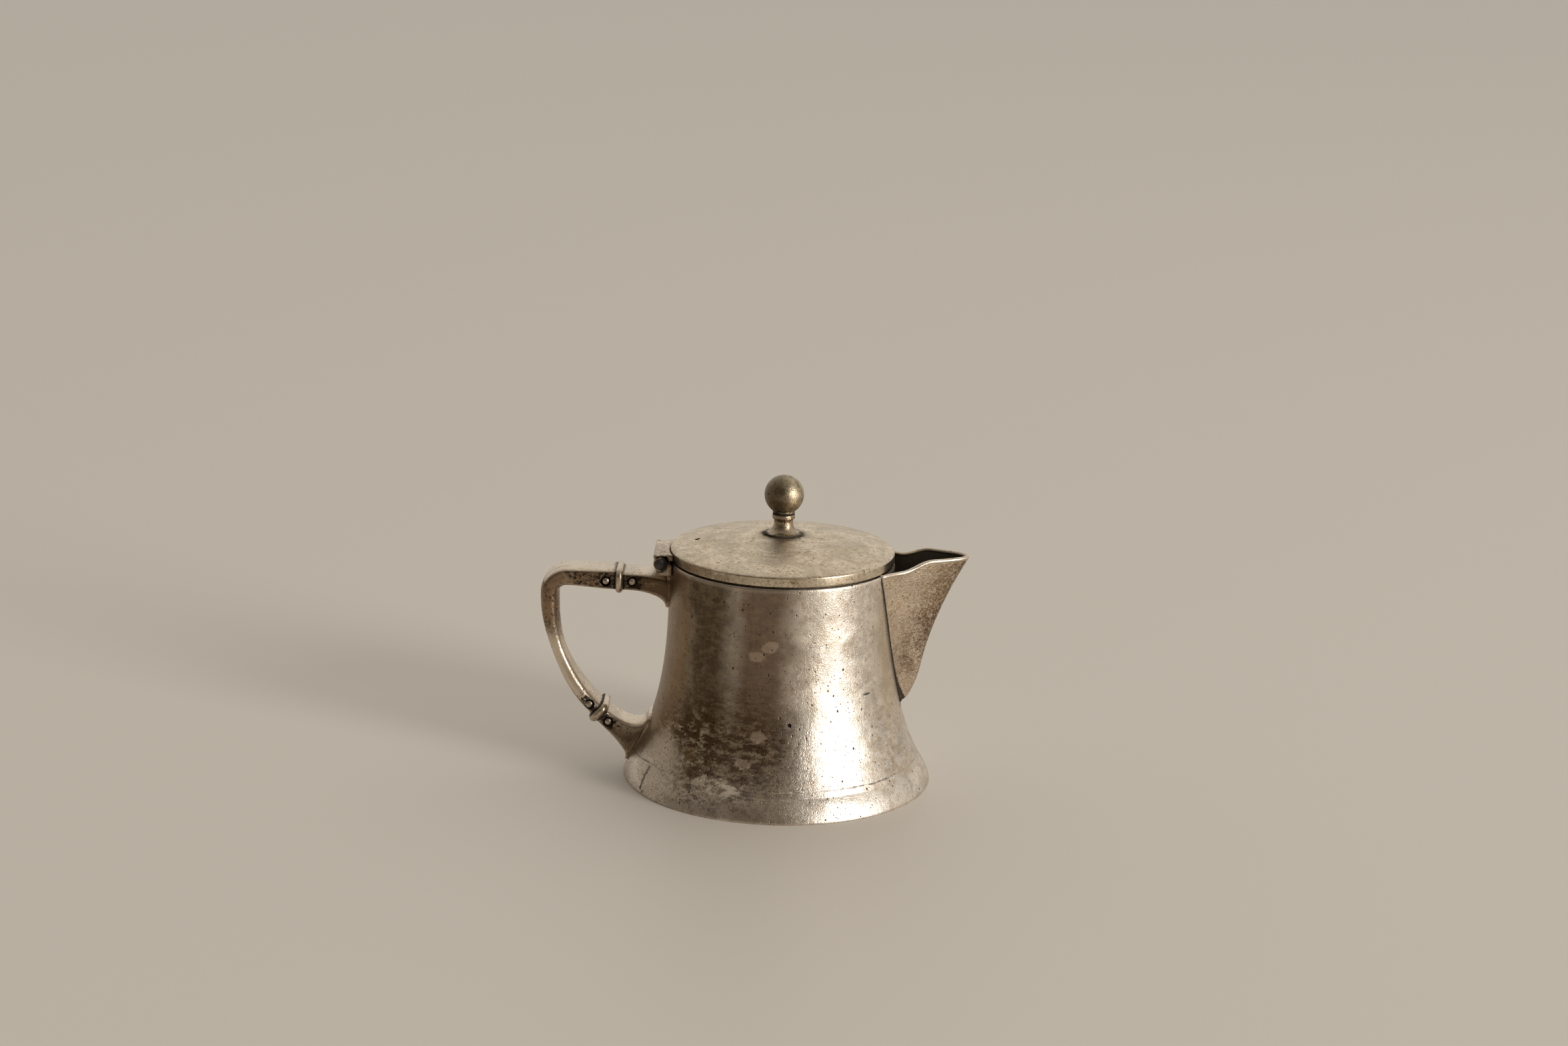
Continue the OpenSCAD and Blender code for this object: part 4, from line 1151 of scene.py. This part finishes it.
def lid_marks(g, mm, look):
    z, radius = turned(g, mm)[1:]
    x, y, _ = g.parts(mm)
    cloud, fleck = look.cloud, look.fleck
    hairs = g.noise(g.stretched(mm, (0.5, 1.8, 1.0)), 1.0, 3, 0.2)
    nicks = g.noise(g.stretched(mm, (0.9, 1.4, 1.0)), 1.25, 5, 0.6, 0.6)
    olive = g.noise(mm, 0.085, 3, 0.8)
    clouded = cloud.soft(0.45, 0.6)
    edge = radius.soft(31.6, 32.0)
    dome = dome_z(0) * 1000 - dome_r * 1000 + (dome_r * dome_r * 1e6 - radius * radius).op("SQRT")
    under = (z - dome).soft(-0.55, -0.75) * radius.soft(31.8, 31.3)
    halo = (radius + (fleck - 0.5) * 4 + (cloud - 0.5) * 5).soft(9.5, 5.4)
    creep = (radius + (fleck - 0.5) * 3).soft(6.6, 5.6)
    vent = length(x - vent_x * 1000, y).soft(0.95, 0.65)
    # The edge darker in patches on the hinge side: brown dirt, and painted shade on that side
    brim = (z - lid_edge_z * 1000).soft(-0.1, -0.5) * x.soft(-4, -20) * cloud.soft(0.36, 0.52)
    spoutward = (x - y * 0.5 - 9).size().soft(11, 3) * olive.soft(0.42, 0.62) * radius.soft(26, 12)
    look.height = look.height * 0.6 + (hairs - 0.5) * 0.015
    look.shift = edge * 0.10 + halo * 0.10
    look.pit_share += edge * 0.3 * clouded
    look.rough -= edge * 0.16
    look.dirt_and_shade = g.most(vent, creep * 0.8)
    look.tints = [
        (olive.soft(0.46, 0.66) * 0.35 + y.soft(2, 26) * 0.22, (0.40, 0.33, 0.22)),
        (spoutward * 0.4, (0.26, 0.21, 0.14)),
        (halo * 0.5, (0.20, 0.165, 0.11)),
        (creep * 0.85, (0.04, 0.03, 0.02)),
        (nicks.soft(0.555, 0.61) * (0.40 + 0.35 * clouded), (0.15, 0.105, 0.062)),
        (brim * 0.65, (0.19, 0.13, 0.075)),
        (vent * 0.95, (0.012, 0.010, 0.008)),
        (under * 0.9, (0.07, 0.055, 0.04)),
    ]


lid_silver = aged_metal(
    "lid matt plate", (0.86, 0.745, 0.585), (0.46, 0.36, 0.235), (0.05, 0.036, 0.025),
    stains=0.35, roughness=0.44, pits=0.05, grain=0.8, marks=lid_marks,
)
inner_r = lid_r - lid_t
top = [(r, dome_z(r)) for r in (hole_r + (lid_r - 0.0006 - hole_r) * k / 48 for k in range(49))]
brim = rounded([top[-1], (lid_r, lid_edge_z - 0.0003), (lid_r, lid_z), (inner_r, lid_z),
                (inner_r, lid_edge_z - 0.0012)], 0.0005, 6)
hollow = [(r, dome_z(r, lid_t)) for r in (inner_r * (1 - k / 30) + hole_r * k / 30 for k in range(31))]
lid = revolved("lid_dome", top + brim[1:] + hollow, lid_silver, 256, lid_crease)
drill(lid, Matrix.Translation((vent_x, 0, lid_top_z - 0.001)), vent_r, 0.01)
lid.data.set_sharp_from_angle(angle=math.radians(lid_crease))
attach(lid, "lid")
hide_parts("lid_shell")

recoat(aged_metal(
    "ring inside the lid", (0.36, 0.31, 0.245), (0.13, 0.10, 0.07),
    stains=0.7, roughness=0.45, pits=0.3,
), "lid_flange", "finial_washer")

strap_waist, waist_reach, waist_share, hollow_depth = -0.0344, 0.0014, 0.07, 0.00045
strap = softened("lid_hinge_strap", "lid_strap_cast", 44, hinge_silver)
# Thumbs and cloths have worn its waist narrower, and the top of the waist hollow
crown = max(v.co.z for v in strap.data.vertices)
for vertex in strap.data.vertices:
    x, y, z = vertex.co
    waist = math.exp(-((x - strap_waist) / waist_reach) ** 2)
    topside = min(1.0, max(0.0, (z - crown + 0.0009) / 0.0007))
    vertex.co.y = y * (1 - waist_share * waist)
    vertex.co.z = z - topside * hollow_depth * waist
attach(strap, "lid")
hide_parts("lid_hinge_strap")


# ---- Finial ----
# A turned ball on a turned stem. The ball has lost its plate and is an even olive brown.
# A steel stud from the ball passes the lid, where a washer and a nut hold it from inside.

ball_r, ball_z, stem_top_z, neck_r = 0.0057, 0.0843, 0.0787, 0.0032


def ball_marks(g, mm, look):
    x, y, z = g.parts(mm)
    mottled = g.noise(mm, 0.55, 6, 0.6, 0.66)
    # Painted shade: darker patches low on the ball, a black neck under it, and a darker left side as a
    # dark reflection
    low = z.soft(82.8, 79.4) * look.fleck.soft(0.44, 0.56)
    neck = z.soft(79.25, 78.95)
    shady = (x + y * 0.3 + (mottled - 0.5) * 9).soft(2.5, -4.5)
    look.height += (mottled - 0.5) * 0.08
    look.dirt_and_shade = g.most(neck, low * 0.8)
    look.tints = [
        # Painted reflection on the left side, mottling, then painted shade low down and at the neck
        (shady * 0.7, (0.085, 0.064, 0.038)),
        (mottled.soft(0.50, 0.58) * 0.6, (0.12, 0.09, 0.053)),
        (low * 0.85, (0.04, 0.03, 0.02)),
        (neck, (0.02, 0.016, 0.012)),
    ]


ball_brass = aged_metal(
    "ball olive patina", (0.62, 0.515, 0.36), (0.20, 0.15, 0.09), (0.03, 0.022, 0.014),
    stains=0.5, roughness=0.34, pits=0.4, grain=1.3, marks=ball_marks,
)
start = math.asin(neck_r / ball_r)
globe = [(ball_r * math.sin(a), ball_z - ball_r * math.cos(a))
         for a in (start + (math.pi - start) * k / 60 for k in range(60))]
neck = [(0.0, stem_top_z + 0.004), (hole_r, stem_top_z + 0.004), (hole_r, stem_top_z),
        (neck_r - 0.0001, stem_top_z), (neck_r, stem_top_z + 0.0002)]
profile = neck + globe + [(0.0, ball_z + ball_r)]
ball = revolved("finial_ball_turned", profile, ball_brass, 96, 40)
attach(ball, "lid")
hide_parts("finial_ball")


def stem_marks(g, mm, look):
    z = g.parts(mm)[2]
    foot_line = (z - 72.85 + (look.fleck - 0.5) * 0.9).soft(0.55, 0.25)
    lines = g.most(foot_line, (z - 78.65).size().soft(0.25, 0.08))
    look.dirt_and_shade = lines * 0.85
    look.tints = [(lines * 0.85, (0.03, 0.022, 0.016))]


stem_silver = aged_metal(
    "stem worn plate", (0.62, 0.51, 0.37), (0.17, 0.12, 0.07),
    stains=0.6, roughness=0.28, pits=0.8, grain=1.2, marks=stem_marks,
)
ring_r, waist_r, stem_foot_r = 0.0033, 0.00275, 0.0054


def on_lid(outline):
    return [(radius, lid_top_z + height) for radius, height in outline]


base = [(hole_r, -0.0001), (stem_foot_r - 0.0001, -0.0001), (stem_foot_r, 0.0002),
        (stem_foot_r - 0.0001, 0.00045)]
flare = [(waist_r + (stem_foot_r - 0.0003 - waist_r) * (1 - math.sin(math.radians(a))),
          0.0037776 - 0.0032776 * math.cos(math.radians(a))) for a in range(0, 91, 6)]
ring = [(waist_r + 0.0001, 0.0043), (ring_r, 0.0047), (ring_r, 0.006), (hole_r, 0.006)]
profile = on_lid(base + flare) + rounded(on_lid(ring), 0.0005, 5)
stem = revolved("finial_stem_turned", profile, stem_silver, 96, 50)
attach(stem, "lid")
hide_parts("finial_stem")


# ---- Table, light and camera ----
# A plain pale table, matt and without a pattern, that the pot stands on.
# One tall window at the right lights it, in a softly lit room.

table_reach = 12
bm = bmesh.new()
bmesh.ops.create_grid(bm, x_segments=2, y_segments=2, size=table_reach)
pale_table = bpy.data.materials.new("pale table")
g = blank(pale_table)
shader = g.add("ShaderNodeBsdfPrincipled", {"Base Color": (0.74, 0.69, 0.62, 1), "Roughness": 0.5})
g.add("ShaderNodeOutputMaterial", {"Surface": shader})
table = piece_of("table", bm, pale_table)

world = bpy.data.worlds.new("room")
bpy.context.scene.world = world
g = blank(world)
x, y, z = g.parts(g.add("ShaderNodeTexCoord")["Generated"])
shade = (x * 0.30 + y * 0.80 + z * 0.20).soft(-0.75, 0.85)
room = g.mix(shade, (0.13, 0.105, 0.08), (0.78, 0.74, 0.68))
background = g.add("ShaderNodeBackground", {"Color": room, "Strength": 1.0})
g.add("ShaderNodeOutputWorld", {"Surface": background})

window = in_scene("window", bpy.data.lights.new("window", "AREA"))
window.data.shape = "RECTANGLE"
window.data.size, window.data.size_y = 0.96, 1.70
window.data.energy = 72
window.data.color = (1.0, 0.97, 0.93)
window.location = (2.79, -1.89, 0.84)
aim = Vector((0, 0, 0.06)) - window.location
window.rotation_euler = aim.to_track_quat("-Z", "Y").to_euler()

lens_mm, sensor_mm = 63.64, 36.0
pitch, roll = 0.24995, 0.02886
eye = Vector((0.00015, -0.77459, 0.27352))
ahead = Vector((0, math.cos(pitch), -math.sin(pitch)))
right = Vector((1, 0, 0))
up = right.cross(ahead)
right, up = (right * math.cos(roll) + up * math.sin(roll),
             up * math.cos(roll) - right * math.sin(roll))
camera = in_scene("camera", bpy.data.cameras.new("camera"))
camera.data.lens = lens_mm
camera.data.sensor_width = sensor_mm
camera.data.sensor_fit = "HORIZONTAL"
camera.data.clip_start = 0.01
camera.data.clip_end = 50
turn = Matrix((right, up, -ahead)).transposed().to_4x4()
camera.matrix_world = Matrix.Translation(eye) @ turn
bpy.context.scene.camera = camera
bpy.context.scene.view_settings.view_transform = "Standard"
